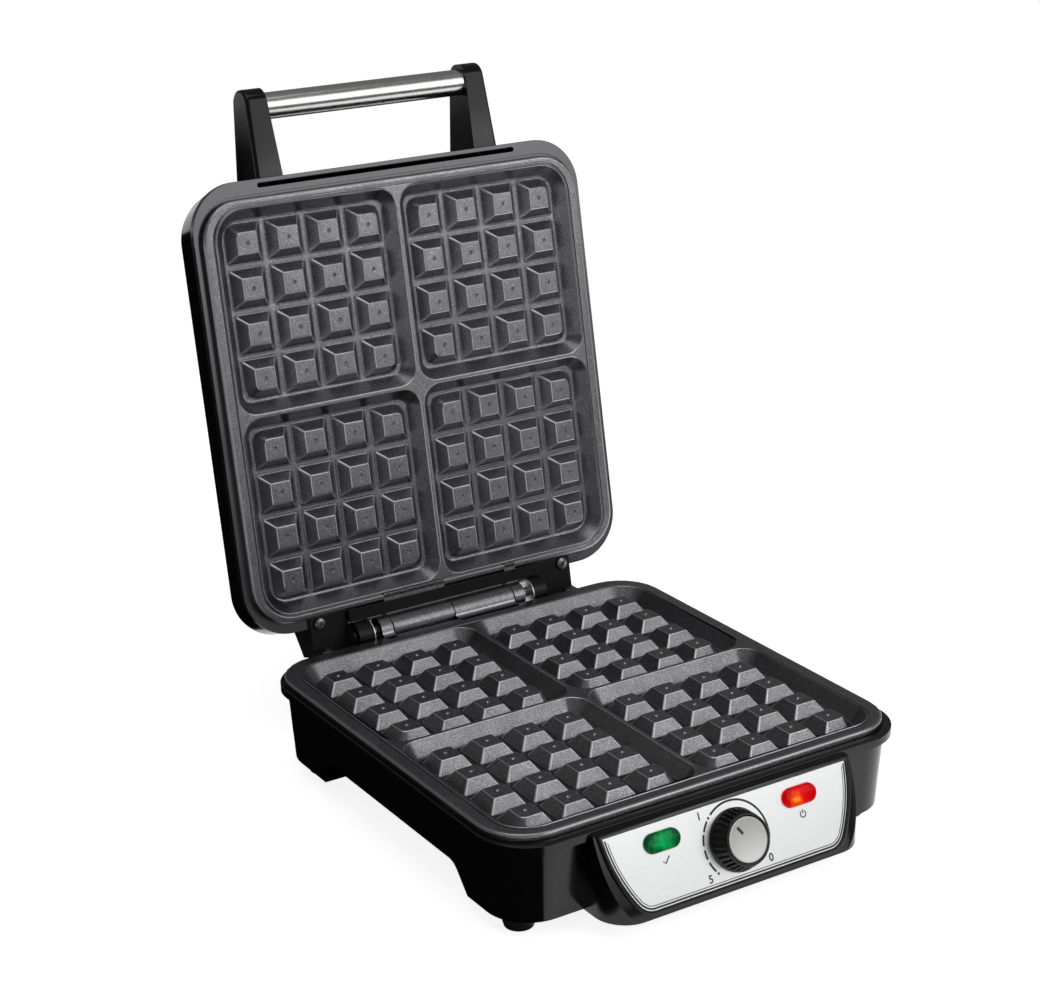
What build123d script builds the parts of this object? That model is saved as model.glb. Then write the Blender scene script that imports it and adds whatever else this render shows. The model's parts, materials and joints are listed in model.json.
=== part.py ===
"""Four-slice electric waffle maker, open.

The origin is on the floor under the middle of the open appliance. +Z is up and -Y is the front, where
the control panel is. The lid and all that rides on it are modelled in the open position, on planes that
lean with the lid. Everything is drawn about the middle of the lower cooking plate and is moved to the
origin when it is written.
"""

import os
from math import atan2, cos, degrees, radians, sin, tan

from build123d import *

# ------------------------------------------------------- driving dimensions, in millimetres and degrees

# How far behind the middle of the lower plate the middle of the open appliance is.
open_middle_y = 36.75

# Cooking plates. Heights are above the tops of the pegs.
cavity_pitch = 114.5
divider_width = 2.0
wall_lean = 6.0
cavity_outer_corner = 11.0
cavity_inner_corner = 5.0
peg_pitch = 25.0
pegs_per_side = 4
peg_top = 12.0
peg_base = 21.5
peg_height = 6.5
peg_corner = 6.0
rim_height = 1.5
rim_band = 1.2
land_height = 1.0
plate_edge_height = 4.7
plate_edge_round = 1.5
plate_floor = 3.5
drip_groove_width = 0.8
drip_groove_depth = 1.2
lower_land_side = 7.5
lower_land_front = 5.4
lower_land_rear = 9.5
lower_plate_corner = 26.0
upper_land_side = 5.5
upper_land_end = 3.3
upper_plate_corner = 22.5

# Hinge. Places along the hinge line are measured from the middle.
peg_top_level = 56.5
hinge_behind_rim = 7.8
closed_gap = 3.6
hinge_above_pegs = 1.4
open_angle = 100.7
pin_radius = 3.0
pin_chamfer = 0.5
running_clearance = 0.05
barrel_radius = 7.5
barrel_end = 40.5
barrel_gap = 0.6
lug_start = 41.2
lug_end = 48.5
web_notch = 1.5
apron_half = 50.8
washer_radius = 8.6
washer_thickness = 1.0
washer_gap = 0.2
base_knuckle_start = 54.5
base_knuckle_length = 9.0
knuckle_gap = 0.5
bracket_outer = 88.0
cheek_thickness = 2.5
knuckle_radius = 8.0
cover_front_drop = 7.3
cover_waist_back = 21.2
cover_waist_drop = 2.6
cover_tail_back = 17.2
cover_tail_drop = 9.4
cover_seat_gap = 0.3
stop_gap = 0.2
turning_gap = 0.5
hinge_screw_x = 82.0
base_screw_behind_rim = 0.3
lid_screw_inside_frame = 2.1
leaf_thickness = 2.0
lid_screw_length = 5.5
leaf_inside_frame = 5.6
bracket_foot_level = 28.0
bracket_foot_depth = 7.0
screw_land_below_hinge = 4.1

# Base housing.
leg_level = 9.5
skirt_set_in = 6.0
skirt_corner = 24.0
skirt_draft = 4.2
wall = 3.0
rim_thickness = 3.3
lip_rise = 1.2
lip_round = 0.5
rim_band_side = 2.3
rim_band_rear = 2.0
rim_corner = 28.0
seat_clearance = 0.6
arch_level = 24.2
side_arch_front = 68.0
side_arch_rear = 65.0
arch_slope_front = 13.0
arch_slope_rear = 4.0
rear_arch_half_width = 76.0
rear_arch_slope = 8.0
arch_round = 9.0
hinge_pad_depth = 8.4
cord_inlet_level = 37.0
cord_bush_radius = 8.0
cord_bush_flange = 2.5
cord_bush_bore = 3.6

# Front bump-out and control panel. Drops run down the panel's slope from its top line.
bump_margin = 2.0
bump_reach = 21.0
bump_corner = 17.5
bump_brow = 1.5
panel_tilt = 24.0
panel_before_rim = 3.0
panel_top_level = 50.5
steel_top_half = 74.8
steel_top_drop = 0.4
steel_mid_half = 72.3
steel_mid_drop = 15.0
steel_low_half = 62.5
steel_low_drop = 36.9
steel_bottom_half = 58.0
steel_bottom_drop = 40.8
steel_thickness = 0.8
steel_clearance = 0.1
bezel_width = 2.2
bezel_thickness = 1.5
bezel_round = 0.6
lens_x = 42.4
lens_drop = 9.8
lens_length = 21.0
lens_height = 10.0
lens_proud = 2.2
lens_round = 1.6
lens_depth = 6.0
lens_clearance = 0.15
lamp_radius = 2.5
lamp_length = 12.0
lamp_holder_margin = 2.5
lamp_holder_depth = 12.0
knob_drop = 21.0
knob_skirt_radius = 16.0
knob_skirt_height = 3.0
knob_waist_radius = 14.2
knob_front_radius = 13.2
knob_height = 11.0
knob_ridges = 30
knob_ridge_depth = 0.9
knob_cap_radius = 11.4
knob_cap_thickness = 0.8
knob_lift = 0.3
shaft_radius = 3.0
shaft_engagement = 7.0
thermostat_size = 27.0
thermostat_depth = 11.0

# Lid. Depths are behind the peg tops; reaches run from the plate's middle to the handle or to the hinge.
frame_depth = 7.0
frame_lip_depth = 3.2
frame_band_side = 3.8
frame_band_front = 9.4
frame_band_rear = 6.7
frame_corner = 28.0
frame_seat_clearance = 1.3
shoulder_rise = 17.0
shoulder_side_in = 1.0
shoulder_front_in = 5.7
shoulder_rear_out = 4.0
shoulder_corner = 26.0
crown_rise = 17.0
crown_side_in = 10.8
crown_end_in = 10.5
crown_corner = 22.0
shoulder_round = 12.0
crown_round = 8.0
lid_wall = 2.5
slot_half_width = 83.0
slot_inside_edge = 2.1
slot_width = 2.7

# Handle.
arm_root_inner = 60.8
arm_root_outer = 79.0
arm_tip_inner = 64.4
arm_tip_outer = 76.6
arm_reach = 48.4
arm_root_inside = 12.0
arm_shoulder_inside = 1.2
arm_root_front_depth = 12.5
arm_root_back_depth = 40.5
arm_tip_front_depth = 16.9
arm_tip_back_depth = 33.6
arm_tip_round = 8.0
bar_short_of_tip = 10.3
bar_depth = 24.8
bar_radius = 7.5
bar_wall = 1.0
bar_half_length = 66.0
arm_screw_x = 70.0
arm_screw_depths = (20.0, 32.0)
arm_screw_head_gaps = (2.9, 11.2)
arm_screw_bite = 16.0
arm_edge_round = 2.0

# Feet, heaters, covers and small parts.
foot_side_in = 15.3
front_foot_in = 19.3
rear_foot_in = 21.0
foot_top_radius = 10.0
foot_bottom_radius = 7.5
foot_plug_radius = 4.0
foot_plug_length = 5.0
element_radius = 3.25
element_inside_posts = 20.0
element_corner = 30.0
element_end = 15.0
element_gap = 0.2
reflector_inside_pan = 13.0
reflector_corner = 18.0
reflector_wall = 0.8
reflector_depth = 12.0
post_inside_tray = 14.0
post_radius = 4.0
screw_radius = 2.0
screw_head_radius = 3.6
screw_head_height = 2.0
screw_length = 9.0
fuse_length = 26.0
fuse_radius = 4.0
terminal_length = 40.0
terminal_width = 16.0
terminal_height = 7.0
terminal_x = -38.0
terminal_y = 88.0
floor_cover_half_x = 84.0
floor_cover_half_y = 52.0
floor_cover_thickness = 1.6
floor_cover_corner = 6.0
rebate_width = 6.0
fit_gap = 0.3
vent_count = 9
vent_pitch = 13.0
vent_width = 4.0
vent_length = 60.0
cover_screw_reach = 4.0

# ------------------------------------------------------- planes and places that follow from them

peg_lean = degrees(atan2((peg_base - peg_top) / 2, peg_height))
cavity_mouth = cavity_pitch - divider_width
cavity_floor = cavity_mouth - 2 * wall_lean
cavity_depth = peg_height + rim_height
cavity_lean = degrees(atan2(wall_lean, cavity_depth))
cavity_span = cavity_pitch + cavity_mouth
cavity_places = [(x * cavity_pitch / 2, y * cavity_pitch / 2) for x in (-1, 1) for y in (-1, 1)]
plate_edge_bottom = land_height - plate_edge_height
groove_outer = cavity_span / 2 + rim_band + drip_groove_width
lower_plate_half_width = groove_outer + lower_land_side
lower_plate_front = groove_outer + lower_land_front
lower_plate_rear = groove_outer + lower_land_rear
upper_plate_half_width = groove_outer + upper_land_side
upper_plate_reach = groove_outer + upper_land_end
pan_half_width = cavity_span / 2 + plate_floor
pan_corner = cavity_outer_corner + wall_lean + plate_floor
pan_bottom = -peg_height - plate_floor
pan_opening = 2 * (pan_half_width + seat_clearance)
reflector_half_width = pan_half_width - reflector_inside_pan
post_reach = reflector_half_width - post_inside_tray
element_half_width = post_reach - element_inside_posts
post_places = [(x * post_reach, y * post_reach) for x in (-1, 1) for y in (-1, 1)]
screw_hole = screw_radius + running_clearance
pin_hole = pin_radius + running_clearance

rim_half_width = lower_plate_half_width + rim_band_side
rim_half_depth = lower_plate_rear + rim_band_rear
skirt_half_width = rim_half_width - skirt_set_in
skirt_half_depth = rim_half_depth - skirt_set_in
hinge_y = rim_half_depth + hinge_behind_rim
hinge_z = peg_top_level + hinge_above_pegs
lid_hinge_above_pegs = closed_gap - hinge_above_pegs
lean = radians(open_angle - 90)
lid_out = Vector(0, -cos(lean), sin(lean))
lid_up = Vector(0, sin(lean), cos(lean))
lid_middle = Vector(0, hinge_y, hinge_z) + lid_up * hinge_y - lid_out * lid_hinge_above_pegs

lower_seat = Plane(origin=(0, 0, peg_top_level), x_dir=(-1, 0, 0), z_dir=(0, 0, 1))
lid_seat = Plane(origin=lid_middle, x_dir=(1, 0, 0), z_dir=lid_out)
lid_side = Plane(origin=lid_middle, x_dir=lid_up, z_dir=(1, 0, 0))
hinge_section = Plane(origin=(0, hinge_y, hinge_z), x_dir=(0, 1, 0), z_dir=(1, 0, 0))
cover_section = Plane(origin=(0, hinge_y, hinge_z), x_dir=-lid_out, z_dir=(1, 0, 0))
panel_top_y = -rim_half_depth - panel_before_rim
panel_out = Vector(0, -cos(radians(panel_tilt)), sin(radians(panel_tilt)))
panel = Plane(origin=(0, panel_top_y, panel_top_level), x_dir=(1, 0, 0), z_dir=panel_out)
knob_axis = Axis(panel.from_local_coords((0, -knob_drop, 0)), panel_out)
knob_section = Plane(origin=knob_axis.position, x_dir=(1, 0, 0), z_dir=-panel.y_dir)

shelf_level = peg_top_level + plate_edge_bottom
rim_under = shelf_level - rim_thickness
bump_half_width = steel_top_half + bezel_width + bump_margin
bump_front = rim_half_depth + bump_reach
bump_top = panel_top_level + bump_brow
frame_half_width = upper_plate_half_width + frame_band_side
frame_front = upper_plate_reach + frame_band_front
frame_rear = upper_plate_reach + frame_band_rear
shoulder_depth = frame_depth + shoulder_rise
shoulder_half_width = frame_half_width - shoulder_side_in
shoulder_front = frame_front - shoulder_front_in
shoulder_rear = frame_rear + shoulder_rear_out
crown_depth = shoulder_depth + crown_rise
crown_half_width = shoulder_half_width - crown_side_in
crown_front = shoulder_front - crown_end_in
crown_rear = shoulder_rear - crown_end_in
arm_root = crown_front - arm_root_inside
arm_straight = frame_front - arm_shoulder_inside
arm_tip = frame_front + arm_reach
arm_screw_end = arm_straight + arm_screw_bite
bar_reach = arm_tip - bar_short_of_tip
base_screw_y = rim_half_depth + base_screw_behind_rim + screw_head_radius
lid_screw_reach = frame_rear - lid_screw_inside_frame
leaf_inner_reach = frame_rear - leaf_inside_frame
leaf_outer_reach = hinge_y + cover_front_drop
leaf_back = lid_hinge_above_pegs + frame_lip_depth - leaf_thickness
cover_frame_back = lid_hinge_above_pegs + frame_depth
cover_frame_rise = hinge_y - frame_rear - cover_seat_gap
cover_shoulder_back = lid_hinge_above_pegs + shoulder_depth
cover_shoulder_rise = hinge_y - shoulder_rear - cover_seat_gap
bracket_foot_rear = rim_half_depth + bracket_foot_depth
bracket_screw_land = hinge_z - screw_land_below_hinge
pin_end = base_knuckle_start + base_knuckle_length
cover_start = pin_end + knuckle_gap
hinge_pad_middle = (base_knuckle_start + bracket_outer) / 2
foot_rows = (front_foot_in - skirt_half_depth, skirt_half_depth - rear_foot_in)
foot_places = [(x * (skirt_half_width - foot_side_in), y) for x in (-1, 1) for y in foot_rows]
lens_places = {"green": -lens_x, "red": lens_x}
lens_hole = (lens_length + 2 * lens_clearance, lens_height + 2 * lens_clearance)
sides = {"left": -1, "right": 1}
barrel_spans = ((-barrel_end, -barrel_gap / 2), (lug_start, lug_end))
far = 200.0

os.makedirs("parts", exist_ok=True)


def save(piece, label):
    """Move one finished piece to the appliance's own origin, label it and write it as a file of its own."""
    moved = piece.part.moved(Location((0, -open_middle_y, 0)))
    moved.label = label
    export_step(moved, f"parts/{label}.step")


def slab_outline(half_width, front, rear, corner):
    """A rounded rectangle that reaches `front` towards the sketch's +Y and `rear` towards its -Y."""
    with Locations((0, (front - rear) / 2)):
        RectangleRounded(2 * half_width, front + rear, corner)


def screw(seat, places, length):
    """Pan-head screws whose heads stand on `seat` and whose shanks go down into it."""
    with BuildPart() as screws:
        with BuildSketch(seat):
            with Locations(*places):
                Circle(screw_head_radius)
        extrude(amount=screw_head_height)
        with BuildSketch(seat):
            with Locations(*places):
                Circle(screw_radius)
        extrude(amount=-length)
    return screws


# ------------------------------------------------------- waffle plates and what is under them


def waffle_plate(seat, half_width, front, rear, corner, axis_height, webs):
    """One cast plate, seated by its peg tops.

    The seat's +Z is out of the cooking face and its -Y is to the hinge. Each web is given by its two ends
    along the hinge and by how near to the hinge line it comes.
    """
    with BuildPart() as plate:
        with BuildSketch(seat.offset(plate_edge_bottom)):
            slab_outline(half_width, front, rear, corner)
        extrude(amount=plate_edge_height)
        fillet(plate.faces().sort_by(Axis(seat.origin, seat.z_dir))[-1].edges(), plate_edge_round)

        groove_corner = cavity_outer_corner + wall_lean + rim_band
        with BuildSketch(seat.offset(land_height)):
            RectangleRounded(2 * groove_outer, 2 * groove_outer, groove_corner + drip_groove_width)
        extrude(amount=-drip_groove_depth, mode=Mode.SUBTRACT)
        with BuildSketch(seat.offset(pan_bottom)):
            RectangleRounded(2 * pan_half_width, 2 * pan_half_width, pan_corner)
        extrude(amount=plate_edge_bottom - pan_bottom)
        with BuildSketch(seat.offset(land_height - drip_groove_depth)):
            RectangleRounded(cavity_span + 2 * rim_band, cavity_span + 2 * rim_band, groove_corner)
        extrude(amount=rim_height - land_height + drip_groove_depth)

        for place in cavity_places:
            with BuildSketch(seat.offset(-peg_height)) as cavity:
                with Locations(place):
                    Rectangle(cavity_floor, cavity_floor)
                fillet(cavity.vertices().sort_by_distance((0, 0, 0))[-1], cavity_outer_corner)
                fillet(cavity.vertices().sort_by_distance((*place, 0))[-3:], cavity_inner_corner)
            extrude(amount=cavity_depth, taper=-cavity_lean, mode=Mode.SUBTRACT)
        for place in cavity_places:
            with BuildSketch(seat.offset(-peg_height)) as pegs:
                with Locations(place):
                    with GridLocations(peg_pitch, peg_pitch, pegs_per_side, pegs_per_side):
                        Rectangle(peg_base, peg_base)
                fillet(pegs.vertices().sort_by_distance((*place, 0))[-4:], peg_corner)
            extrude(amount=peg_height, taper=peg_lean)

        hinge_centre = seat.from_local_coords((0, -hinge_y, axis_height))
        barrel_root = Plane(hinge_centre, x_dir=-seat.y_dir, z_dir=seat.x_dir)
        web_root = rear - plate_edge_round - wall
        for start, end, short_of_hinge in webs:
            web_end = hinge_y - short_of_hinge
            with BuildSketch(seat.offset(plate_edge_bottom)):
                with Locations(((start + end) / 2, -(web_root + web_end) / 2)):
                    Rectangle(end - start, web_end - web_root)
            extrude(amount=plate_edge_height)
        for start, end in barrel_spans:
            with BuildSketch(barrel_root.offset(start)):
                Circle(barrel_radius)
            extrude(amount=end - start)
        with BuildSketch(barrel_root.offset(-far / 2)):
            Circle(pin_hole)
        extrude(amount=far, mode=Mode.SUBTRACT)

        with BuildSketch(seat.offset(pan_bottom)):
            with Locations(*post_places):
                Circle(post_radius)
                Circle(screw_hole, mode=Mode.SUBTRACT)
        extrude(amount=reflector_wall - reflector_depth)
    return plate


def heating_element(seat):
    """A tubular heater bent in a loop that is open towards the hinge, just under the plate's pan."""
    half = element_half_width
    bends = [(-half, -half), (-half, half), (half, half), (half, -half)]
    route = [(-element_end, -half), *bends, (element_end, -half)]
    with BuildPart() as element:
        with BuildLine(seat.offset(pan_bottom - element_gap - element_radius)) as loop:
            FilletPolyline(*route, radius=element_corner)
        with BuildSketch(Plane(origin=loop.line @ 0, z_dir=loop.line % 0)):
            Circle(element_radius)
        sweep()
    return element


def reflector(seat):
    """A sheet-metal tray that closes the heater in from below and hangs on the plate's posts."""
    with BuildPart() as tray:
        with BuildSketch(seat.offset(pan_bottom - reflector_depth)):
            RectangleRounded(2 * reflector_half_width, 2 * reflector_half_width, reflector_corner)
        extrude(amount=reflector_depth - element_gap)
        hollow_half = reflector_half_width - reflector_wall
        with BuildSketch(seat.offset(pan_bottom - reflector_depth + reflector_wall)):
            RectangleRounded(2 * hollow_half, 2 * hollow_half, reflector_corner - reflector_wall)
        extrude(amount=reflector_depth, mode=Mode.SUBTRACT)
        with BuildSketch(seat.offset(pan_bottom - reflector_depth)):
            with Locations(*post_places):
                Circle(screw_hole)
        extrude(amount=reflector_wall, mode=Mode.SUBTRACT)
    return tray


def reflector_screws(seat):
    """Screws that hold the tray to the posts, driven from behind."""
    tray_back = seat.offset(pan_bottom - reflector_depth)
    behind = Plane(origin=tray_back.origin, x_dir=seat.x_dir, z_dir=-seat.z_dir)
    return screw(behind, post_places, screw_length)


barrel_webs = [(start, end, 0) for start, end in barrel_spans]
apron_web = (-apron_half, apron_half, barrel_radius + turning_gap)
save(
    waffle_plate(
        lower_seat,
        lower_plate_half_width,
        lower_plate_front,
        lower_plate_rear,
        lower_plate_corner,
        hinge_above_pegs,
        barrel_webs,
    ),
    "lower_waffle_plate",
)
save(
    waffle_plate(
        lid_seat,
        upper_plate_half_width,
        upper_plate_reach,
        upper_plate_reach,
        upper_plate_corner,
        lid_hinge_above_pegs,
        [apron_web, *barrel_webs],
    ),
    "upper_waffle_plate",
)
for level, seat in {"lower": lower_seat, "upper": lid_seat}.items():
    save(heating_element(seat), f"{level}_heating_element")
    save(reflector(seat), f"{level}_reflector")
    save(reflector_screws(seat), f"{level}_reflector_screws")


# ------------------------------------------------------- base housing


def housing_form(inset):
    """The housing's outside form with its arches or, with the wall as inset, its hollow."""
    foot = leg_level - wall
    arch_top = arch_level + inset
    rear_half = rear_arch_half_width + inset
    with BuildPart() as form:
        with BuildSketch(Plane.XY.offset(leg_level + inset)):
            half_x = skirt_half_width - inset
            half_y = skirt_half_depth - inset
            RectangleRounded(2 * half_x, 2 * half_y, skirt_corner - inset)
        extrude(amount=rim_under - leg_level, taper=-skirt_draft)
        with BuildSketch(Plane.XY.offset(leg_level + inset)):
            slab_outline(bump_half_width - inset, 0, bump_front - inset, bump_corner - inset)
        extrude(amount=bump_top - leg_level - 2 * inset)
        with BuildSketch(panel.offset(-inset)):
            Rectangle(2 * far, 2 * far)
        extrude(amount=far, mode=Mode.SUBTRACT)
        with BuildSketch(Plane.YZ) as side_arch:
            with BuildLine():
                Polyline(
                    (-side_arch_front - arch_slope_front - inset, foot),
                    (-side_arch_front - inset, arch_top),
                    (side_arch_rear + inset, arch_top),
                    (side_arch_rear + arch_slope_rear + inset, foot),
                    close=True,
                )
            make_face()
            fillet(side_arch.vertices().group_by(Axis.Y)[-1], arch_round)
        extrude(amount=far, both=True, mode=Mode.SUBTRACT)
        with BuildSketch(Plane.XZ.offset(-side_arch_rear)) as rear_arch:
            with BuildLine():
                Polyline(
                    (-rear_half - rear_arch_slope, foot),
                    (-rear_half, arch_top),
                    (rear_half, arch_top),
                    (rear_half + rear_arch_slope, foot),
                    close=True,
                )
            make_face()
            fillet(rear_arch.vertices().group_by(Axis.Y)[-1], arch_round)
        extrude(amount=-far, mode=Mode.SUBTRACT)
    return form


housing_outside = housing_form(0)
housing_hollow = housing_form(wall)
floor_cover_screws_at = [
    (x * (floor_cover_half_x - rebate_width / 2), y * (floor_cover_half_y - rebate_width / 2))
    for x in (-1, 1)
    for y in (-1, 1)
]
rebate_level = arch_level + floor_cover_thickness
floor_level = arch_level + wall

with BuildPart() as base_housing:
    add(housing_outside.part)
    add(housing_hollow.part, mode=Mode.SUBTRACT)
    with BuildSketch(Plane.XY.offset(rim_under)):
        RectangleRounded(2 * rim_half_width, 2 * rim_half_depth, rim_corner)
        RectangleRounded(pan_opening, pan_opening, pan_corner + seat_clearance, mode=Mode.SUBTRACT)
    extrude(amount=rim_thickness)
    with BuildSketch(lower_seat.offset(plate_edge_bottom)):
        RectangleRounded(2 * rim_half_width, 2 * rim_half_depth, rim_corner)
        with Locations((0, (lower_plate_front - lower_plate_rear) / 2)):
            RectangleRounded(
                2 * (lower_plate_half_width + seat_clearance),
                lower_plate_front + lower_plate_rear + 2 * seat_clearance,
                lower_plate_corner + seat_clearance,
                mode=Mode.SUBTRACT,
            )
    extrude(amount=lip_rise)
    fillet(base_housing.faces().sort_by(Axis.Z)[-1].edges(), lip_round)
    with BuildSketch(lower_seat.offset(plate_edge_bottom)):
        with Locations((0, -rim_half_depth)):
            Rectangle(2 * (lug_end + web_notch), 2 * (rim_half_depth - lower_plate_rear + plate_edge_round))
    extrude(amount=2 * lip_rise, mode=Mode.SUBTRACT)

    with BuildSketch(Plane.XY.offset(bracket_foot_level)):
        for side in sides.values():
            with Locations((side * hinge_pad_middle, rim_half_depth - hinge_pad_depth / 2)):
                Rectangle(bracket_outer - base_knuckle_start, hinge_pad_depth)
    extrude(amount=rim_under - bracket_foot_level)

    with BuildSketch(Plane.XY.offset(leg_level)):
        with Locations(*foot_places):
            Circle(foot_plug_radius + running_clearance)
    extrude(amount=wall, mode=Mode.SUBTRACT)
    with BuildSketch(panel):
        for x in lens_places.values():
            with Locations((x, -lens_drop)):
                SlotOverall(*lens_hole)
        with Locations((0, -knob_drop)):
            Circle(shaft_radius + running_clearance)
    extrude(amount=-wall, mode=Mode.SUBTRACT)
    with BuildSketch(Plane.XZ.offset(-skirt_half_depth)):
        with Locations((0, cord_inlet_level)):
            Circle(cord_bush_radius + 2 * cord_bush_flange)
    extrude(amount=-wall)
    with BuildSketch(Plane.XZ.offset(-skirt_half_depth + wall)):
        with Locations((0, cord_inlet_level)):
            Circle(cord_bush_radius + running_clearance)
    extrude(amount=-3 * wall, mode=Mode.SUBTRACT)

    with BuildSketch(Plane.XY.offset(arch_level)):
        Rectangle(2 * (floor_cover_half_x - rebate_width), 2 * (floor_cover_half_y - rebate_width))
    extrude(amount=wall, mode=Mode.SUBTRACT)
    with BuildSketch(Plane.XY.offset(arch_level)):
        RectangleRounded(
            2 * (floor_cover_half_x + fit_gap),
            2 * (floor_cover_half_y + fit_gap),
            floor_cover_corner + fit_gap,
        )
    extrude(amount=floor_cover_thickness, mode=Mode.SUBTRACT)
    with BuildSketch(Plane.XY.offset(rebate_level)):
        with Locations(*floor_cover_screws_at):
            Circle(screw_hole)
    extrude(amount=wall, mode=Mode.SUBTRACT)
save(base_housing, "base_housing")

with BuildPart() as base_bottom_cover:
    with BuildSketch(Plane.XY.offset(arch_level)):
        RectangleRounded(2 * floor_cover_half_x, 2 * floor_cover_half_y, floor_cover_corner)
        with GridLocations(vent_pitch, 1, vent_count, 1):
            Rectangle(vent_width, vent_length, mode=Mode.SUBTRACT)
        with Locations(*floor_cover_screws_at):
            Circle(screw_hole, mode=Mode.SUBTRACT)
    extrude(amount=floor_cover_thickness)
save(base_bottom_cover, "base_bottom_cover")
cover_from_below = Plane(origin=(0, 0, arch_level), x_dir=(1, 0, 0), z_dir=(0, 0, -1))
save(screw(cover_from_below, floor_cover_screws_at, wall + cover_screw_reach), "bottom_cover_screws")

with BuildPart() as rubber_feet:
    with BuildSketch(Plane.XY):
        with Locations(*foot_places):
            Circle(foot_bottom_radius)
    extrude(amount=leg_level, taper=-degrees(atan2(foot_top_radius - foot_bottom_radius, leg_level)))
    with BuildSketch(Plane.XY.offset(leg_level)):
        with Locations(*foot_places):
            Circle(foot_plug_radius)
    extrude(amount=foot_plug_length)
save(rubber_feet, "rubber_feet")

with BuildPart() as cord_bush:
    inlet_face = Plane.XZ.offset(-skirt_half_depth - wall)
    with BuildSketch(inlet_face):
        with Locations((0, cord_inlet_level)):
            Circle(cord_bush_radius + cord_bush_flange)
    extrude(amount=-cord_bush_flange)
    with BuildSketch(inlet_face):
        with Locations((0, cord_inlet_level)):
            Circle(cord_bush_radius)
    extrude(amount=3 * wall)
    with BuildSketch(inlet_face):
        with Locations((0, cord_inlet_level)):
            Circle(cord_bush_bore)
    extrude(amount=far, both=True, mode=Mode.SUBTRACT)
save(cord_bush, "cord_bush")

with BuildPart() as terminal_block:
    with BuildSketch(Plane.XY.offset(floor_level)):
        with Locations((terminal_x, terminal_y)):
            Rectangle(terminal_length, terminal_width)
    extrude(amount=terminal_height)
    with BuildSketch(Plane.XY.offset(floor_level + terminal_height)):
        with Locations((terminal_x, terminal_y)):
            with GridLocations(terminal_length / 3, 1, 3, 1):
                Circle(screw_radius)
    extrude(amount=-terminal_height / 2, mode=Mode.SUBTRACT)
save(terminal_block, "terminal_block")


# ------------------------------------------------------- hinge


def base_hinge_bracket(side):
    """The block behind the housing that holds one end of the pin, and whose back stops the lid's cover."""
    screw_land = bracket_screw_land - hinge_z
    foot = bracket_foot_level - hinge_z
    wall_side = rim_half_depth - hinge_y
    stop_at_hinge = (leaf_back - stop_gap) / cos(lean)
    with BuildPart() as bracket:
        with BuildSketch(hinge_section.offset(side * base_knuckle_start)):
            with BuildLine():
                Polyline(
                    (wall_side, foot),
                    (bracket_foot_rear - hinge_y, foot),
                    (stop_at_hinge - cover_front_drop * tan(lean), -cover_front_drop),
                    (stop_at_hinge + screw_land * tan(lean), screw_land),
                    (wall_side, screw_land),
                    close=True,
                )
            make_face()
        extrude(amount=side * (bracket_outer - base_knuckle_start))
        with BuildSketch(hinge_section.offset(side * base_knuckle_start)):
            Circle(knuckle_radius)
        extrude(amount=side * base_knuckle_length)
        with BuildSketch(hinge_section.offset(side * (base_knuckle_start - knuckle_gap))):
            Circle(pin_hole)
        extrude(amount=side * (base_knuckle_length + 2 * knuckle_gap), mode=Mode.SUBTRACT)
        with BuildSketch(Plane.XY.offset(bracket_screw_land)):
            with Locations((side * hinge_screw_x, base_screw_y)):
                Circle(screw_hole)
        extrude(amount=-screw_length - fit_gap, mode=Mode.SUBTRACT)
    return bracket


def cover_outline(inset):
    """The hinge cover from the side, back and up from the hinge line, with its front and back set in."""
    with BuildLine() as outline:
        back = ThreePointArc(
            (cover_tail_back - inset, -cover_tail_drop - inset),
            (cover_waist_back - inset, -cover_waist_drop),
            (cover_shoulder_back - inset, cover_shoulder_rise),
        )
        Polyline(
            back @ 1,
            (cover_frame_back, cover_frame_rise),
            (leaf_back + inset, cover_frame_rise),
            (leaf_back + inset, -cover_front_drop - inset),
            back @ 0,
        )
    return outline.edges()


def lid_hinge_bracket(side):
    """A deep cover behind the hinge, open below, on a leaf that is screwed to the lid's frame."""
    cover_length = bracket_outer - cover_start
    with BuildPart() as bracket:
        with BuildSketch(cover_section.offset(side * cover_start)):
            make_face(cover_outline(0))
        extrude(amount=side * cover_length)
        with BuildSketch(cover_section.offset(side * (cover_start + cheek_thickness))):
            make_face(cover_outline(leaf_thickness))
        extrude(amount=side * (cover_length - 2 * cheek_thickness), mode=Mode.SUBTRACT)
        with BuildSketch(lid_seat.offset(-frame_lip_depth)):
            leaf_middle = -(leaf_inner_reach + leaf_outer_reach) / 2
            with Locations((side * (cover_start + bracket_outer) / 2, leaf_middle)):
                Rectangle(cover_length, leaf_outer_reach - leaf_inner_reach)
        extrude(amount=leaf_thickness)
        with BuildSketch(lid_seat.offset(-frame_lip_depth)):
            with Locations((side * hinge_screw_x, -lid_screw_reach)):
                Circle(screw_hole)
        extrude(amount=leaf_thickness, mode=Mode.SUBTRACT)
    return bracket


for name, side in sides.items():
    save(base_hinge_bracket(side), f"base_hinge_bracket_{name}")
    save(lid_hinge_bracket(side), f"lid_hinge_bracket_{name}")
base_screw_seat = Plane.XY.offset(bracket_screw_land)
base_hinge_screws_at = [(side * hinge_screw_x, base_screw_y) for side in sides.values()]
save(screw(base_screw_seat, base_hinge_screws_at, screw_length), "base_hinge_screws")
lid_screw_seat = lid_seat.offset(leaf_thickness - frame_lip_depth)
lid_hinge_screws_at = [(side * hinge_screw_x, -lid_screw_reach) for side in sides.values()]
save(screw(lid_screw_seat, lid_hinge_screws_at, lid_screw_length), "lid_hinge_screws")

with BuildPart() as hinge_pin:
    with BuildSketch(hinge_section.offset(-pin_end)):
        Circle(pin_radius)
    extrude(amount=2 * pin_end)
    chamfer(hinge_pin.edges(), pin_chamfer)
save(hinge_pin, "hinge_pin")

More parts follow.
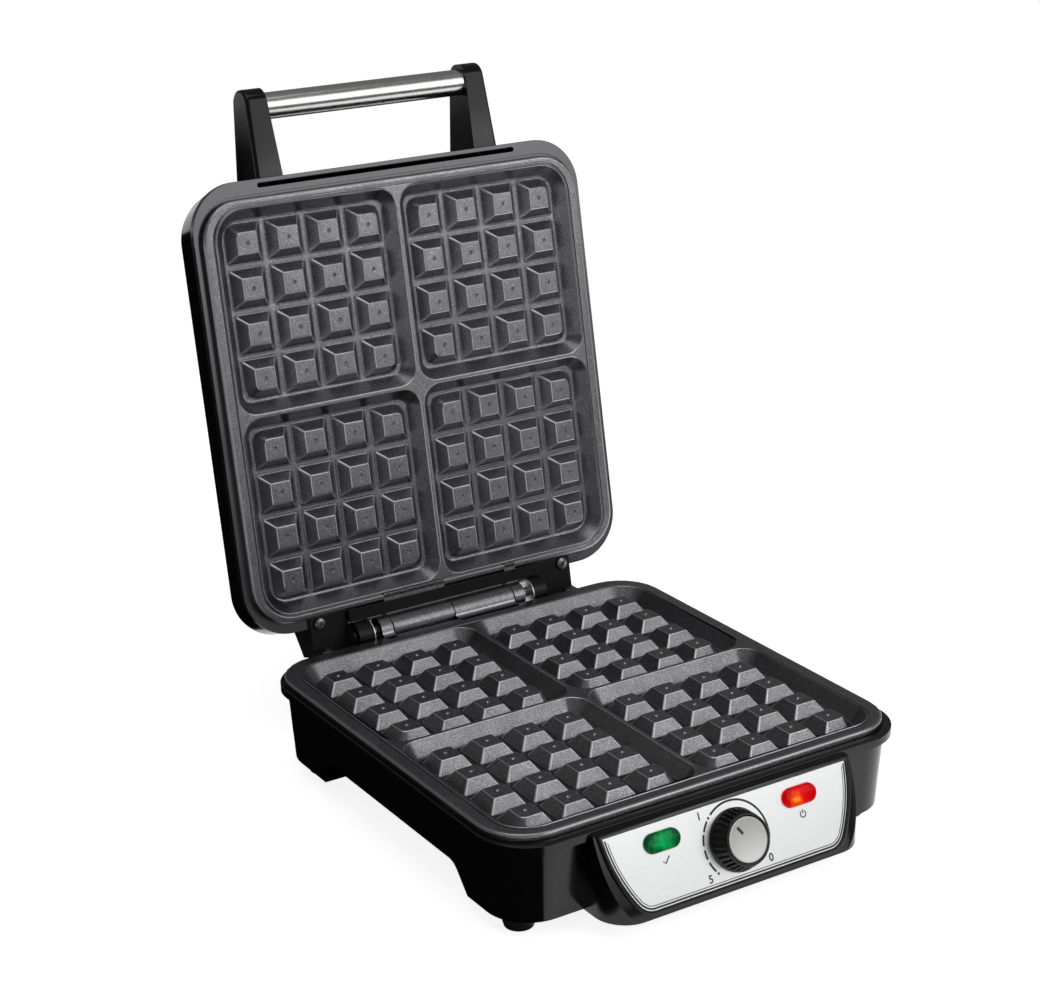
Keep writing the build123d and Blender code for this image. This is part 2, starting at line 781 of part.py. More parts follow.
with BuildPart() as pin_washers:
    for side in sides.values():
        with BuildSketch(hinge_section.offset(side * (base_knuckle_start - washer_gap))):
            Circle(washer_radius)
            Circle(pin_hole, mode=Mode.SUBTRACT)
        extrude(amount=-side * washer_thickness)
save(pin_washers, "pin_washers")


# ------------------------------------------------------- control panel


with BuildLine() as panel_edge:
    bowed_side = ThreePointArc(
        (steel_top_half, -steel_top_drop),
        (steel_mid_half, -steel_mid_drop),
        (steel_low_half, -steel_low_drop),
    )
    low_corner = Line(bowed_side @ 1, (steel_bottom_half, -steel_bottom_drop))
    Line(low_corner @ 1, (0, -steel_bottom_drop))
    Line(bowed_side @ 0, (0, -steel_top_drop))
    mirror(about=Plane.YZ)

with BuildPart() as control_bezel:
    with BuildSketch(panel):
        make_face(panel_edge.edges())
        offset(amount=bezel_width, mode=Mode.REPLACE)
    extrude(amount=bezel_thickness)
    fillet(control_bezel.faces().sort_by(Axis(panel.origin, panel_out))[-1].edges(), bezel_round)
    with BuildSketch(panel):
        make_face(panel_edge.edges())
        offset(amount=steel_clearance, mode=Mode.REPLACE)
    extrude(amount=bezel_thickness, mode=Mode.SUBTRACT)
save(control_bezel, "control_bezel")

with BuildPart() as control_panel_plate:
    with BuildSketch(panel):
        make_face(panel_edge.edges())
        for x in lens_places.values():
            with Locations((x, -lens_drop)):
                SlotOverall(*lens_hole, mode=Mode.SUBTRACT)
        with Locations((0, -knob_drop)):
            Circle(shaft_radius + running_clearance, mode=Mode.SUBTRACT)
    extrude(amount=steel_thickness)
save(control_panel_plate, "control_panel_plate")

for colour, x in lens_places.items():
    with BuildPart() as lens:
        with BuildSketch(panel.offset(-lens_depth)):
            with Locations((x, -lens_drop)):
                SlotOverall(lens_length, lens_height)
        extrude(amount=lens_depth + steel_thickness + lens_proud)
        fillet(lens.faces().sort_by(Axis(panel.origin, panel_out))[-1].edges(), lens_round)
    save(lens, f"{colour}_lamp_lens")

holder_level = -lens_depth - fit_gap
with BuildPart() as lamp_holders:
    with BuildSketch(panel.offset(-wall)):
        for x in lens_places.values():
            with Locations((x, -lens_drop)):
                RectangleRounded(
                    lens_length + 2 * lamp_holder_margin,
                    lens_height + 2 * lamp_holder_margin,
                    lamp_holder_margin,
                )
    extrude(amount=-lamp_holder_depth)
    with BuildSketch(panel.offset(-wall)):
        for x in lens_places.values():
            with Locations((x, -lens_drop)):
                SlotOverall(*lens_hole)
    extrude(amount=holder_level + wall, mode=Mode.SUBTRACT)
    with BuildSketch(panel.offset(-wall)):
        for x in lens_places.values():
            with Locations((x, -lens_drop)):
                Circle(lamp_radius + running_clearance)
    extrude(amount=-lamp_holder_depth, mode=Mode.SUBTRACT)
save(lamp_holders, "lamp_holders")

with BuildPart() as pilot_lamps:
    with BuildSketch(panel.offset(holder_level)):
        for x in lens_places.values():
            with Locations((x, -lens_drop)):
                Circle(lamp_radius)
    extrude(amount=-lamp_length)
save(pilot_lamps, "pilot_lamps")

with BuildPart() as thermostat_body:
    with BuildSketch(panel.offset(-wall)):
        with Locations((0, -knob_drop)):
            RectangleRounded(thermostat_size, thermostat_size, wall)
    extrude(amount=-thermostat_depth)
    with BuildSketch(panel.offset(-wall)):
        with Locations((0, -knob_drop)):
            Circle(shaft_radius + running_clearance)
    extrude(amount=-shaft_engagement - fit_gap, mode=Mode.SUBTRACT)
save(thermostat_body, "thermostat_body")

shaft_start = -wall - shaft_engagement
knob_bottom = steel_thickness + knob_lift
with BuildPart() as control_shaft:
    with BuildSketch(panel.offset(shaft_start)):
        with Locations((0, -knob_drop)):
            Circle(shaft_radius)
    extrude(amount=knob_height - knob_cap_thickness - wall - shaft_start)
save(control_shaft, "control_shaft")

with BuildPart() as thermostat_knob:
    with BuildSketch(knob_section):
        with BuildLine():
            Polyline(
                (0, knob_bottom),
                (knob_skirt_radius, knob_bottom),
                (knob_skirt_radius, knob_bottom + knob_skirt_height / 2),
                (knob_waist_radius, knob_bottom + knob_skirt_height),
                (knob_front_radius, knob_height),
                (knob_cap_radius + fit_gap, knob_height),
                (knob_cap_radius + fit_gap, knob_height - knob_cap_thickness),
                (0, knob_height - knob_cap_thickness),
                close=True,
            )
        make_face()
    revolve(axis=knob_axis)
    with BuildSketch(panel.offset(knob_bottom + knob_skirt_height)):
        with Locations((0, -knob_drop)):
            with PolarLocations(knob_waist_radius + knob_ridge_depth / 2, knob_ridges):
                RegularPolygon(knob_ridge_depth, 4)
    extrude(amount=knob_height, mode=Mode.SUBTRACT)
    with BuildSketch(panel.offset(knob_bottom)):
        with Locations((0, -knob_drop)):
            Circle(shaft_radius + running_clearance)
    extrude(amount=knob_height - knob_cap_thickness - wall - knob_bottom, mode=Mode.SUBTRACT)
save(thermostat_knob, "thermostat_knob")

with BuildPart() as knob_cap:
    with BuildSketch(panel.offset(knob_height - knob_cap_thickness)):
        with Locations((0, -knob_drop)):
            Circle(knob_cap_radius)
    extrude(amount=knob_cap_thickness)
save(knob_cap, "knob_cap")


# ------------------------------------------------------- lid


def lid_form(inset):
    """The lid's outside form behind its frame or, with the wall as inset, its hollow."""
    with BuildPart() as form:
        for depth, half_width, front, rear, corner in (
            (frame_depth, frame_half_width, frame_front, frame_rear, frame_corner),
            (shoulder_depth, shoulder_half_width, shoulder_front, shoulder_rear, shoulder_corner),
            (crown_depth - inset, crown_half_width, crown_front, crown_rear, crown_corner),
        ):
            with BuildSketch(lid_seat.offset(-depth)):
                slab_outline(half_width - inset, front - inset, rear - inset, corner - inset)
        loft(ruled=True)
        levels = form.edges().filter_by(lid_seat).group_by(Axis(lid_middle, lid_out))
        fillet(levels[1], shoulder_round - inset)
        backwards = form.faces().filter_by(lid_seat).sort_by(Axis(lid_middle, lid_out))
        fillet(backwards[0].edges(), crown_round - inset)
    return form


def across_lid(reach, depth):
    """The plane across the lid at one reach towards the handle, with its origin at one depth."""
    return Plane(origin=lid_seat.from_local_coords((0, reach, -depth)), x_dir=(1, 0, 0), z_dir=lid_up)


lid_outside = lid_form(0)
lid_hollow = lid_form(lid_wall)

with BuildPart() as lid_shell:
    add(lid_outside.part)
    add(lid_hollow.part, mode=Mode.SUBTRACT)
    for depth in arm_screw_depths:
        with BuildSketch(across_lid(arm_root, depth)):
            with Locations((-arm_screw_x, 0), (arm_screw_x, 0)):
                Circle(screw_hole)
        extrude(amount=arm_screw_end - arm_root, mode=Mode.SUBTRACT)
save(lid_shell, "lid_shell")

with BuildPart() as lid_frame:
    with BuildSketch(lid_seat.offset(-frame_depth)):
        slab_outline(frame_half_width, frame_front, frame_rear, frame_corner)
        RectangleRounded(pan_opening, pan_opening, pan_corner + seat_clearance, mode=Mode.SUBTRACT)
    extrude(amount=frame_depth + plate_edge_bottom)
    with BuildSketch(lid_seat.offset(plate_edge_bottom)):
        slab_outline(frame_half_width, frame_front, frame_rear, frame_corner)
        RectangleRounded(
            2 * (upper_plate_half_width + frame_seat_clearance),
            2 * (upper_plate_reach + frame_seat_clearance),
            upper_plate_corner + frame_seat_clearance,
            mode=Mode.SUBTRACT,
        )
    extrude(amount=-plate_edge_bottom - frame_lip_depth)
    with BuildSketch(lid_seat.offset(plate_edge_bottom)):
        with Locations((0, -frame_rear)):
            Rectangle(2 * (apron_half + web_notch), 2 * (frame_rear - upper_plate_reach))
    extrude(amount=-plate_edge_bottom, mode=Mode.SUBTRACT)
    with BuildSketch(lid_seat.offset(-frame_depth)):
        with Locations((0, frame_front - slot_inside_edge - slot_width / 2)):
            SlotOverall(2 * slot_half_width, slot_width)
    extrude(amount=frame_depth, mode=Mode.SUBTRACT)
    with BuildSketch(lid_seat.offset(-frame_depth)):
        with Locations(*lid_hinge_screws_at):
            Circle(screw_hole)
    extrude(amount=frame_depth, mode=Mode.SUBTRACT)
save(lid_frame, "lid_frame")

fuse_middle = lid_seat.from_local_coords((0, 0, pan_bottom - reflector_depth - fuse_radius))
with BuildPart() as thermal_fuse:
    with BuildSketch(Plane(origin=fuse_middle, x_dir=lid_up, z_dir=(1, 0, 0))):
        Circle(fuse_radius - running_clearance)
    extrude(amount=fuse_length / 2, both=True)
save(thermal_fuse, "thermal_fuse")


# ------------------------------------------------------- handle

for name, side in sides.items():
    with BuildPart() as handle_arm:
        with BuildSketch(lid_side.offset(side * arm_root_inner)) as arm_side:
            with BuildLine():
                Polyline(
                    (arm_root, -arm_root_front_depth),
                    (arm_straight, -arm_root_front_depth),
                    (arm_tip, -arm_tip_front_depth),
                    (arm_tip, -arm_tip_back_depth),
                    (arm_straight, -arm_root_back_depth),
                    (arm_root, -arm_root_back_depth),
                    close=True,
                )
            make_face()
            fillet(arm_side.vertices().group_by(Axis.X)[-1], arm_tip_round)
        extrude(amount=side * (arm_root_outer - arm_root_inner))
        with BuildSketch(lid_seat):
            with BuildLine():
                Polyline(
                    (side * arm_root_inner, arm_root),
                    (side * arm_tip_inner, arm_tip),
                    (side * arm_tip_outer, arm_tip),
                    (side * arm_root_outer, arm_root),
                    close=True,
                )
            make_face()
        extrude(amount=-far / 2, mode=Mode.INTERSECT)
        fillet(handle_arm.faces().sort_by(Axis((0, 0, 0), (side, 0, 0)))[-1].edges(), arm_edge_round)
        add(lid_outside.part, mode=Mode.SUBTRACT)
        with BuildSketch(lid_side.offset(side * (bar_half_length + running_clearance))):
            with Locations((bar_reach, -bar_depth)):
                Circle(bar_radius + running_clearance)
        extrude(amount=-side * wall * 3, mode=Mode.SUBTRACT)
        for depth in arm_screw_depths:
            with BuildSketch(across_lid(arm_root, depth)):
                with Locations((side * arm_screw_x, 0)):
                    Circle(screw_hole)
            extrude(amount=arm_screw_end - arm_root, mode=Mode.SUBTRACT)
    save(handle_arm, f"handle_arm_{name}")

with BuildPart() as handle_bar:
    with BuildSketch(lid_side.offset(-bar_half_length)):
        with Locations((bar_reach, -bar_depth)):
            Circle(bar_radius)
            Circle(bar_radius - bar_wall, mode=Mode.SUBTRACT)
    extrude(amount=2 * bar_half_length)
save(handle_bar, "handle_bar")

with BuildPart() as handle_screws:
    for depth, gap in zip(arm_screw_depths, arm_screw_head_gaps):
        head = shoulder_front - gap
        head_seat = across_lid(head, depth)
        with BuildSketch(head_seat):
            with Locations((-arm_screw_x, 0), (arm_screw_x, 0)):
                Circle(screw_radius)
        extrude(amount=arm_screw_end - fit_gap - head)
        with BuildSketch(head_seat):
            with Locations((-arm_screw_x, 0), (arm_screw_x, 0)):
                Circle(screw_head_radius)
        extrude(amount=-screw_head_height)
save(handle_screws, "handle_screws")
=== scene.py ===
# %% [markdown]
# # A four-slice waffle maker, open on the worktop
# This lesson dresses a finished CAD assembly. The CAD gives every piece its size, its place and
# its body: `base`, `lid` and `knob`. Blender adds what is too fine for the CAD: rounded edges,
# real finishes, pegs with soft corners, screw recesses, print on the panel and the glow of a
# pilot lamp. The pieces could be modelled from nothing and fitted by eye, but sizes that are read
# from the CAD stay right when the CAD changes. Everything is in metres and in the frame of the
# CAD. The first step loads that frame and keeps its box.

# %% Load the frame
import cmath
import json
from math import atan2, cos, pi, radians, sin, tan

import bmesh
import bpy
from mathutils import Euler, Matrix, Vector
from mathutils.geometry import delaunay_2d_cdt

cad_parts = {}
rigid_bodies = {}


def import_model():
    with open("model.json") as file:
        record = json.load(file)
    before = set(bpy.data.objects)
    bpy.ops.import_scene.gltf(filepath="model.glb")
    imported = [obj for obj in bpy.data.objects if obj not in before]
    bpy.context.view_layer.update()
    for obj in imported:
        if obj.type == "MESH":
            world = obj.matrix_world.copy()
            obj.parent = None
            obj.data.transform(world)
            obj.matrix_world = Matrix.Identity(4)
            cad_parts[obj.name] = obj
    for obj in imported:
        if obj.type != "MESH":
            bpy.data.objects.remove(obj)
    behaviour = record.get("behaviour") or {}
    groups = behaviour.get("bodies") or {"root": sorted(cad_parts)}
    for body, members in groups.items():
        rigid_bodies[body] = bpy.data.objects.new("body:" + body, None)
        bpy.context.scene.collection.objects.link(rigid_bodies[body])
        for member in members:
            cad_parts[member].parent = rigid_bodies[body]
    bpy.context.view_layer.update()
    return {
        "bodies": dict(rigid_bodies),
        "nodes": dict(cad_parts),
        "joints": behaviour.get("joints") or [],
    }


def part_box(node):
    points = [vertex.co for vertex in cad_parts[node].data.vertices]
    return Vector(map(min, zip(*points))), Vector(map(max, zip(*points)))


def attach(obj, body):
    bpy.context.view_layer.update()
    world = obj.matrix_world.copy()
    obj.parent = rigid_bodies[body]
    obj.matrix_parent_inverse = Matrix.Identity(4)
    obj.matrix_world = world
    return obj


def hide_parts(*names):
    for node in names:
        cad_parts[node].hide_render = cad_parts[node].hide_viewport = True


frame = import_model()
MM = 0.001

# %% [markdown]
# ## Camera
# The view is a shop's usual one, from the front left and a little above the table. A short lens
# would make the near corner look huge, so the lens is long and the square plates keep nearly
# parallel sides. Shift and blur could also frame the piece, but they would suit only one view,
# and the same scene is seen from other sides too, so the camera has neither.

# %% Camera
camera_place = Vector((-0.63037, -0.97479, 0.58174))
camera_turn = Euler([radians(a) for a in (70.0967, 0.7697, -32.6680)], "XYZ")
lens_length = 79.944

camera_data = bpy.data.cameras.new("product_camera")
camera_data.lens = lens_length
camera = bpy.data.objects.new("product_camera", camera_data)
camera.location = camera_place
camera.rotation_euler = camera_turn
bpy.context.scene.collection.objects.link(camera)
bpy.context.scene.camera = camera
bpy.context.scene.view_settings.view_transform = "Standard"
print("camera stands", round(camera_place.length, 3), "m from the middle of the plates")

# %% [markdown]
# ## Node helpers
# Materials are node graphs. They can be drawn by hand in the shader editor, but a graph that is
# written out can be read, compared and used again. Three small helpers keep that short: one adds
# a node and fills its inputs, one makes a new material with its Principled shader, and one lays a
# colour ramp. Numbers that are the same all over a surface are written on the shader itself; only
# what changes over the surface is a node.


# %% Node helpers
def add_node(tree, kind, inputs=None, **settings):
    """A node of that kind. inputs maps socket names to values or to the sockets that feed them."""
    node = tree.nodes.new(kind)
    for name, value in settings.items():
        setattr(node, name, value)
    for name, value in (inputs or {}).items():
        if isinstance(value, bpy.types.NodeSocket):
            tree.links.new(value, node.inputs[name])
        else:
            node.inputs[name].default_value = value
    return node


def new_material(name, **shader_values):
    """A material with one Principled shader; returns the material, its tree and the shader."""
    material = bpy.data.materials.new(name)
    material.use_nodes = True
    tree = material.node_tree
    shader = tree.nodes["Principled BSDF"]
    for socket, value in shader_values.items():
        shader.inputs[socket.replace("_", " ")].default_value = value
    return material, tree, shader


def ramp(tree, fac, stops):
    """A colour ramp through (position, colour) stops."""
    node = add_node(tree, "ShaderNodeValToRGB", {"Fac": fac})
    while len(node.color_ramp.elements) < len(stops):
        node.color_ramp.elements.new(0.5)
    for element, (position, colour) in zip(node.color_ramp.elements, stops):
        element.position = position
        element.color = (*colour, 1)
    return node.outputs["Color"]


print("node helpers ready")

# %% [markdown]
# ## Group helper
# An effect that several materials share is a node group, built once and given other values in
# each material. The group gets named inputs and outputs. It reads the object's own coordinates,
# which are metres in the frame of the CAD, so a grain keeps its real size on every piece; UV maps
# would have to be unwrapped for each piece to do the same.


# %% Group helper
def place_socket(tree):
    """The object's own coordinates, which are metres in the CAD frame."""
    return add_node(tree, "ShaderNodeTexCoord").outputs["Object"]


def new_group(name, inputs, outputs):
    """An empty shader group with named sockets; returns the tree, its inputs and its outputs."""
    group = bpy.data.node_groups.new(name, "ShaderNodeTree")
    for socket, (kind, value) in inputs.items():
        made = group.interface.new_socket(socket, in_out="INPUT", socket_type=f"NodeSocket{kind}")
        made.default_value = value
    for socket, kind in outputs.items():
        group.interface.new_socket(socket, in_out="OUTPUT", socket_type=f"NodeSocket{kind}")
    source = group.nodes.new("NodeGroupInput")
    sink = group.nodes.new("NodeGroupOutput")
    return group, source.outputs, sink.inputs


print("group helper ready")

# %% [markdown]
# ## Group: speckled coating
# Non-stick coating is sprayed on in drops with fine metal flakes, and it cures to a satin skin
# full of tiny bright and dark dots. Two noises make it: a fine one for the dots, a slow one for
# how thick the spray lies. An image of specks would show its pixels up close and would need UVs;
# noise in the object's own coordinates needs neither. The group hands out a colour, a roughness
# and a height; the shader that reads them stays in each material. Where its share input is above
# zero, the colour is mixed towards a pale grey: a painted highlight for the roundings that catch
# the lamps.

# %% Speckled coating group
coating, given, made = new_group(
    "speckled_coating",
    {
        "Base": ("Color", (0.03, 0.03, 0.033, 1)),
        "Fleck": ("Color", (0.2, 0.2, 0.21, 1)),
        "Highlight Colour": ("Color", (0.5, 0.5, 0.52, 1)),
        "Highlight Share": ("Float", 0.0),
        "Grain Size": ("Float", 0.5 * MM),
        "Roughness": ("Float", 0.4),
    },
    {"Color": "Color", "Roughness": "Float", "Height": "Float"},
)
grain_scale = add_node(coating, "ShaderNodeMath", operation="DIVIDE")
grain_scale.inputs[0].default_value = 1.0
coating.links.new(given["Grain Size"], grain_scale.inputs[1])
where = place_socket(coating)
dots = add_node(
    coating,
    "ShaderNodeTexNoise",
    {"Vector": where, "Scale": grain_scale.outputs[0], "Detail": 2.0, "Roughness": 0.7},
)
spray = add_node(coating, "ShaderNodeTexNoise", {"Vector": where, "Scale": 60.0, "Detail": 3.0})
fleck_mask = add_node(
    coating,
    "ShaderNodeMapRange",
    {"Value": dots.outputs["Fac"], "From Min": 0.5, "From Max": 0.72, "To Min": 0.0, "To Max": 1.0},
)
flecked = add_node(
    coating, "ShaderNodeMix", {"Factor": fleck_mask.outputs["Result"]}, data_type="RGBA"
)
coating.links.new(given["Base"], flecked.inputs["A"])
coating.links.new(given["Fleck"], flecked.inputs["B"])
thickness = add_node(
    coating,
    "ShaderNodeMapRange",
    {
        "Value": spray.outputs["Fac"],
        "From Min": 0.3,
        "From Max": 0.7,
        "To Min": -0.05,
        "To Max": 0.05,
    },
)
spread = add_node(coating, "ShaderNodeMath", operation="ADD")
coating.links.new(given["Roughness"], spread.inputs[0])
coating.links.new(thickness.outputs["Result"], spread.inputs[1])
# painted highlight: the colour is mixed towards a pale grey where the share is above zero
edge_mix = add_node(coating, "ShaderNodeMix", {"Factor": given["Highlight Share"]}, data_type="RGBA")
coating.links.new(flecked.outputs["Result"], edge_mix.inputs["A"])
coating.links.new(given["Highlight Colour"], edge_mix.inputs["B"])
coating.links.new(edge_mix.outputs["Result"], made["Color"])
coating.links.new(spread.outputs[0], made["Roughness"])
coating.links.new(dots.outputs["Fac"], made["Height"])
print("group", coating.name, "with", len(coating.nodes), "nodes")

# %% [markdown]
# ## Group: brushed grain
# Stainless trim is pulled past an abrasive belt, which leaves short scratches in one direction.
# Anisotropic shading could stretch the reflections, but it hides the scratches themselves, so a
# noise is stretched along the belt's direction instead. The group is fed with coordinates that
# are already scaled, so the panel, the handle bar and the cap use the same group with different
# directions.

# %% Brushed grain group
brushing, given, made = new_group(
    "brushed_grain",
    {
        "Vector": ("Vector", (0, 0, 0)),
        "Bright": ("Color", (0.8, 0.8, 0.79, 1)),
        "Dark": ("Color", (0.6, 0.6, 0.59, 1)),
        "Roughness": ("Float", 0.3),
    },
    {"Color": "Color", "Roughness": "Float", "Height": "Float"},
)
scratches = add_node(
    brushing,
    "ShaderNodeTexNoise",
    {"Vector": given["Vector"], "Scale": 1.0, "Detail": 4.0, "Roughness": 0.65},
)
scratch_mix = add_node(
    brushing, "ShaderNodeMix", {"Factor": scratches.outputs["Fac"]}, data_type="RGBA"
)
brushing.links.new(given["Dark"], scratch_mix.inputs["A"])
brushing.links.new(given["Bright"], scratch_mix.inputs["B"])
scratch_rough = add_node(
    brushing,
    "ShaderNodeMapRange",
    {
        "Value": scratches.outputs["Fac"],
        "From Min": 0.3,
        "From Max": 0.7,
        "To Min": -0.06,
        "To Max": 0.06,
    },
)
rough_sum = add_node(brushing, "ShaderNodeMath", operation="ADD")
brushing.links.new(given["Roughness"], rough_sum.inputs[0])
brushing.links.new(scratch_rough.outputs["Result"], rough_sum.inputs[1])
brushing.links.new(scratch_mix.outputs["Result"], made["Color"])
brushing.links.new(rough_sum.outputs[0], made["Roughness"])
brushing.links.new(scratches.outputs["Fac"], made["Height"])
print("group", brushing.name, "with", len(brushing.nodes), "nodes")

# %% [markdown]
# ## Group: moulded skin
# Moulded plastic is never quite even: the gloss varies a little and the skin has a faint orange
# peel. One even black would look like wet paint. The group takes a base colour and gives back a
# colour, a roughness and a height, so that gloss, satin and rubber share one graph and differ
# only in their values.

# %% Moulded skin group
moulding, given, made = new_group(
    "moulded_skin",
    {
        "Base": ("Color", (0.01, 0.01, 0.01, 1)),
        "Roughness": ("Float", 0.15),
        "Peel Size": ("Float", 2 * MM),
    },
    {"Color": "Color", "Roughness": "Float", "Height": "Float"},
)
where = place_socket(moulding)
peel_scale = add_node(moulding, "ShaderNodeMath", operation="DIVIDE")
peel_scale.inputs[0].default_value = 1.0
moulding.links.new(given["Peel Size"], peel_scale.inputs[1])
peel = add_node(
    moulding, "ShaderNodeTexNoise", {"Vector": where, "Scale": peel_scale.outputs[0], "Detail": 1.0}
)
handling = add_node(moulding, "ShaderNodeTexNoise", {"Vector": where, "Scale": 35.0, "Detail": 5.0})
gloss = add_node(
    moulding,
    "ShaderNodeMapRange",
    {
        "Value": handling.outputs["Fac"],
        "From Min": 0.3,
        "From Max": 0.7,
        "To Min": -0.025,
        "To Max": 0.035,
    },
)
gloss_sum = add_node(moulding, "ShaderNodeMath", operation="ADD")
moulding.links.new(given["Roughness"], gloss_sum.inputs[0])
moulding.links.new(gloss.outputs["Result"], gloss_sum.inputs[1])
tone = add_node(
    moulding,
    "ShaderNodeMapRange",
    {
        "Value": handling.outputs["Fac"],
        "From Min": 0.2,
        "From Max": 0.8,
        "To Min": 0.85,
        "To Max": 1.15,
    },
)
toned = add_node(moulding, "ShaderNodeVectorMath", operation="SCALE")
moulding.links.new(given["Base"], toned.inputs[0])
moulding.links.new(tone.outputs["Result"], toned.inputs["Scale"])
moulding.links.new(toned.outputs[0], made["Color"])
moulding.links.new(gloss_sum.outputs[0], made["Roughness"])
moulding.links.new(peel.outputs["Fac"], made["Height"])
print("group", moulding.name, "with", len(moulding.nodes), "nodes")

# %% [markdown]
# ## Materials from the groups
# One function lays a finish: it drops a group into a new material, sets the group's own values
# and joins its outputs to the shader. Separate graphs for each material would work too, but a
# change to a group would then have to be made many times. Each real finish is now one short call,
# named for what it is on the object.


# %% Material maker
def finish_from(name, group, values, bump_distance, vector=None, **shader_values):
    """A material whose colour, roughness and bump come from a group."""
    material, tree, shader = new_material(name, **shader_values)
    node = add_node(tree, "ShaderNodeGroup", node_tree=group)
    for socket, value in values.items():
        node.inputs[socket].default_value = value
    if vector is not None:
        place = place_socket(tree)
        mapping = add_node(tree, "ShaderNodeMapping", {"Vector": place, "Scale": vector})
        tree.links.new(mapping.outputs["Vector"], node.inputs["Vector"])
    bump = add_node(
        tree, "ShaderNodeBump", {"Height": node.outputs["Height"], "Distance": bump_distance}
    )
    tree.links.new(node.outputs["Color"], shader.inputs["Base Color"])
    tree.links.new(node.outputs["Roughness"], shader.inputs["Roughness"])
    tree.links.new(bump.outputs["Normal"], shader.inputs["Normal"])
    return material


def grey(level):
    """A grey that is a touch cool, as all the blacks of this object are."""
    return (level, level, level * blue_share, 1)


blue_share = 1.04
print("a mid grey is", grey(0.5)[:3])

# %% [markdown]
# ## Coating of the plates
# Both plates are cast aluminium under a dark coating, so the shader stays metallic and the
# coating sets its colour. The roundings are painted a paler grey, a painted highlight for the
# lamps they catch. The faces of a plate carry a number for that, which the material reads as an
# attribute. A Bevel node could find the edges while rendering, but it is slow and marks hollow
# edges as well.

# %% Coating of the plates
non_stick = finish_from(
    "non_stick_coating",
    coating,
    {
        "Base": grey(0.15),
        "Fleck": grey(0.58),
        # the pale grey of the painted highlight on the roundings
        "Highlight Colour": grey(0.85),
        "Grain Size": 0.45 * MM,
        "Roughness": 0.34,
    },
    bump_distance=0.04 * MM,
    Metallic=1.0,
)
# painted highlight: how far the roundings are mixed towards the pale grey
edge_highlight_strength = 0.75
coat_tree = non_stick.node_tree
coat_group = next(node for node in coat_tree.nodes if node.type == "GROUP")
highlight_attribute = add_node(coat_tree, "ShaderNodeAttribute", attribute_name="painted_edge_highlight")
highlight_level = add_node(
    coat_tree, "ShaderNodeMath", {0: highlight_attribute.outputs["Fac"], 1: edge_highlight_strength}, operation="MULTIPLY"
)
coat_tree.links.new(highlight_level.outputs[0], coat_group.inputs["Highlight Share"])
print("coating nodes:", len(coat_tree.nodes))

# %% [markdown]
# ## Black mouldings
# The housing and the cover are glossy mouldings, the hinge brackets are satin, the handle arms
# are polished and the feet are rubber. They are all nearly black and differ in how sharp and how
# strong their reflections are. A darker or lighter colour alone would not tell them apart, so
# each call also sets its roughness, and the polished ones their specular level.

# %% Black mouldings
flange_black = finish_from(
    "flange_black",
    moulding,
    {"Base": grey(0.12), "Roughness": 0.28, "Peel Size": 2 * MM},
    bump_distance=0.004 * MM,
    Metallic=0.9,
)
gloss_black = finish_from(
    "gloss_black_shell",
    moulding,
    {"Base": grey(0.005), "Roughness": 0.14, "Peel Size": 3 * MM},
    bump_distance=0.004 * MM,
    Specular_IOR_Level=0.4,
)
rim_black = finish_from(
    "rim_black",
    moulding,
    {"Base": grey(0.012), "Roughness": 0.22, "Peel Size": 2 * MM},
    bump_distance=0.004 * MM,
    Specular_IOR_Level=0.5,
)
satin_black = finish_from(
    "satin_black",
    moulding,
    {"Base": grey(0.006), "Roughness": 0.38, "Peel Size": 0.6 * MM},
    bump_distance=0.015 * MM,
    Specular_IOR_Level=0.25,
)
handle_black = finish_from(
    "handle_black",
    moulding,
    {"Base": grey(0.005), "Roughness": 0.16, "Peel Size": 3 * MM},
    bump_distance=0.003 * MM,
    Specular_IOR_Level=0.3,
)
foot_rubber = finish_from(
    "foot_rubber",
    moulding,
    {"Base": grey(0.02), "Roughness": 0.7, "Peel Size": 0.4 * MM},
    bump_distance=0.02 * MM,
)
print("black finishes:", len([m for m in bpy.data.materials if "black" in m.name]))

# %% [markdown]
# ## Steels
# The panel is brushed sideways, the handle bar is drawn along its length, and the small hardware
# is zinc plated and has no direction. All three could be flat greys, but a grain is what tells
# the eye that a pale surface is metal. The vector scales the noise: few steps along the grain,
# thousands across it.

# %% Steels
brushed_across = (90.0, 4000.0, 4000.0)
no_direction = (1500.0, 1500.0, 1500.0)
brushed_panel = finish_from(
    "brushed_panel_steel",
    brushing,
    {"Bright": (0.94, 0.95, 0.95, 1), "Dark": (0.74, 0.75, 0.75, 1), "Roughness": 0.36},
    bump_distance=0.004 * MM,
    vector=brushed_across,
    Metallic=1.0,
)
brushed_bar = finish_from(
    "brushed_bar_steel",
    brushing,
    {"Bright": (0.78, 0.77, 0.75, 1), "Dark": (0.6, 0.59, 0.57, 1), "Roughness": 0.24},
    bump_distance=0.004 * MM,
    vector=brushed_across,
    Metallic=1.0,
)
plated_steel = finish_from(
    "plated_steel",
    brushing,
    {"Bright": (0.55, 0.55, 0.56, 1), "Dark": (0.4, 0.4, 0.41, 1), "Roughness": 0.3},
    bump_distance=0.004 * MM,
    vector=no_direction,
    Metallic=1.0,
)
print("materials so far:", len(bpy.data.materials))

# %% [markdown]
# ## Where things sit
# The lower plate lies flat and the upper one hangs on the hinge, so each gets its own seat: a
# small frame whose Z leaves the cooking face and whose -Y points at the hinge. An empty and a
# parent would do the same, but a matrix needs no extra object. The hinge line and its opening
# angle come from the joint in the record, so the looks follow the CAD if the opening angle is
# ever changed.

# %% Seats of the two plates and of the control panel
peg_top_level = 56.5 * MM
hinge_reach = 134.8 * MM
lid_clearance = 2.2 * MM
panel_tilt = radians(24)
panel_reach = 130.0 * MM
panel_top_level = 50.5 * MM

hinge = next(j for j in frame["joints"] if j["name"] == "lid_hinge")
hinge_point = Vector(hinge["pos_m"])
open_lean = radians(hinge["range_deg"][1] - 90)


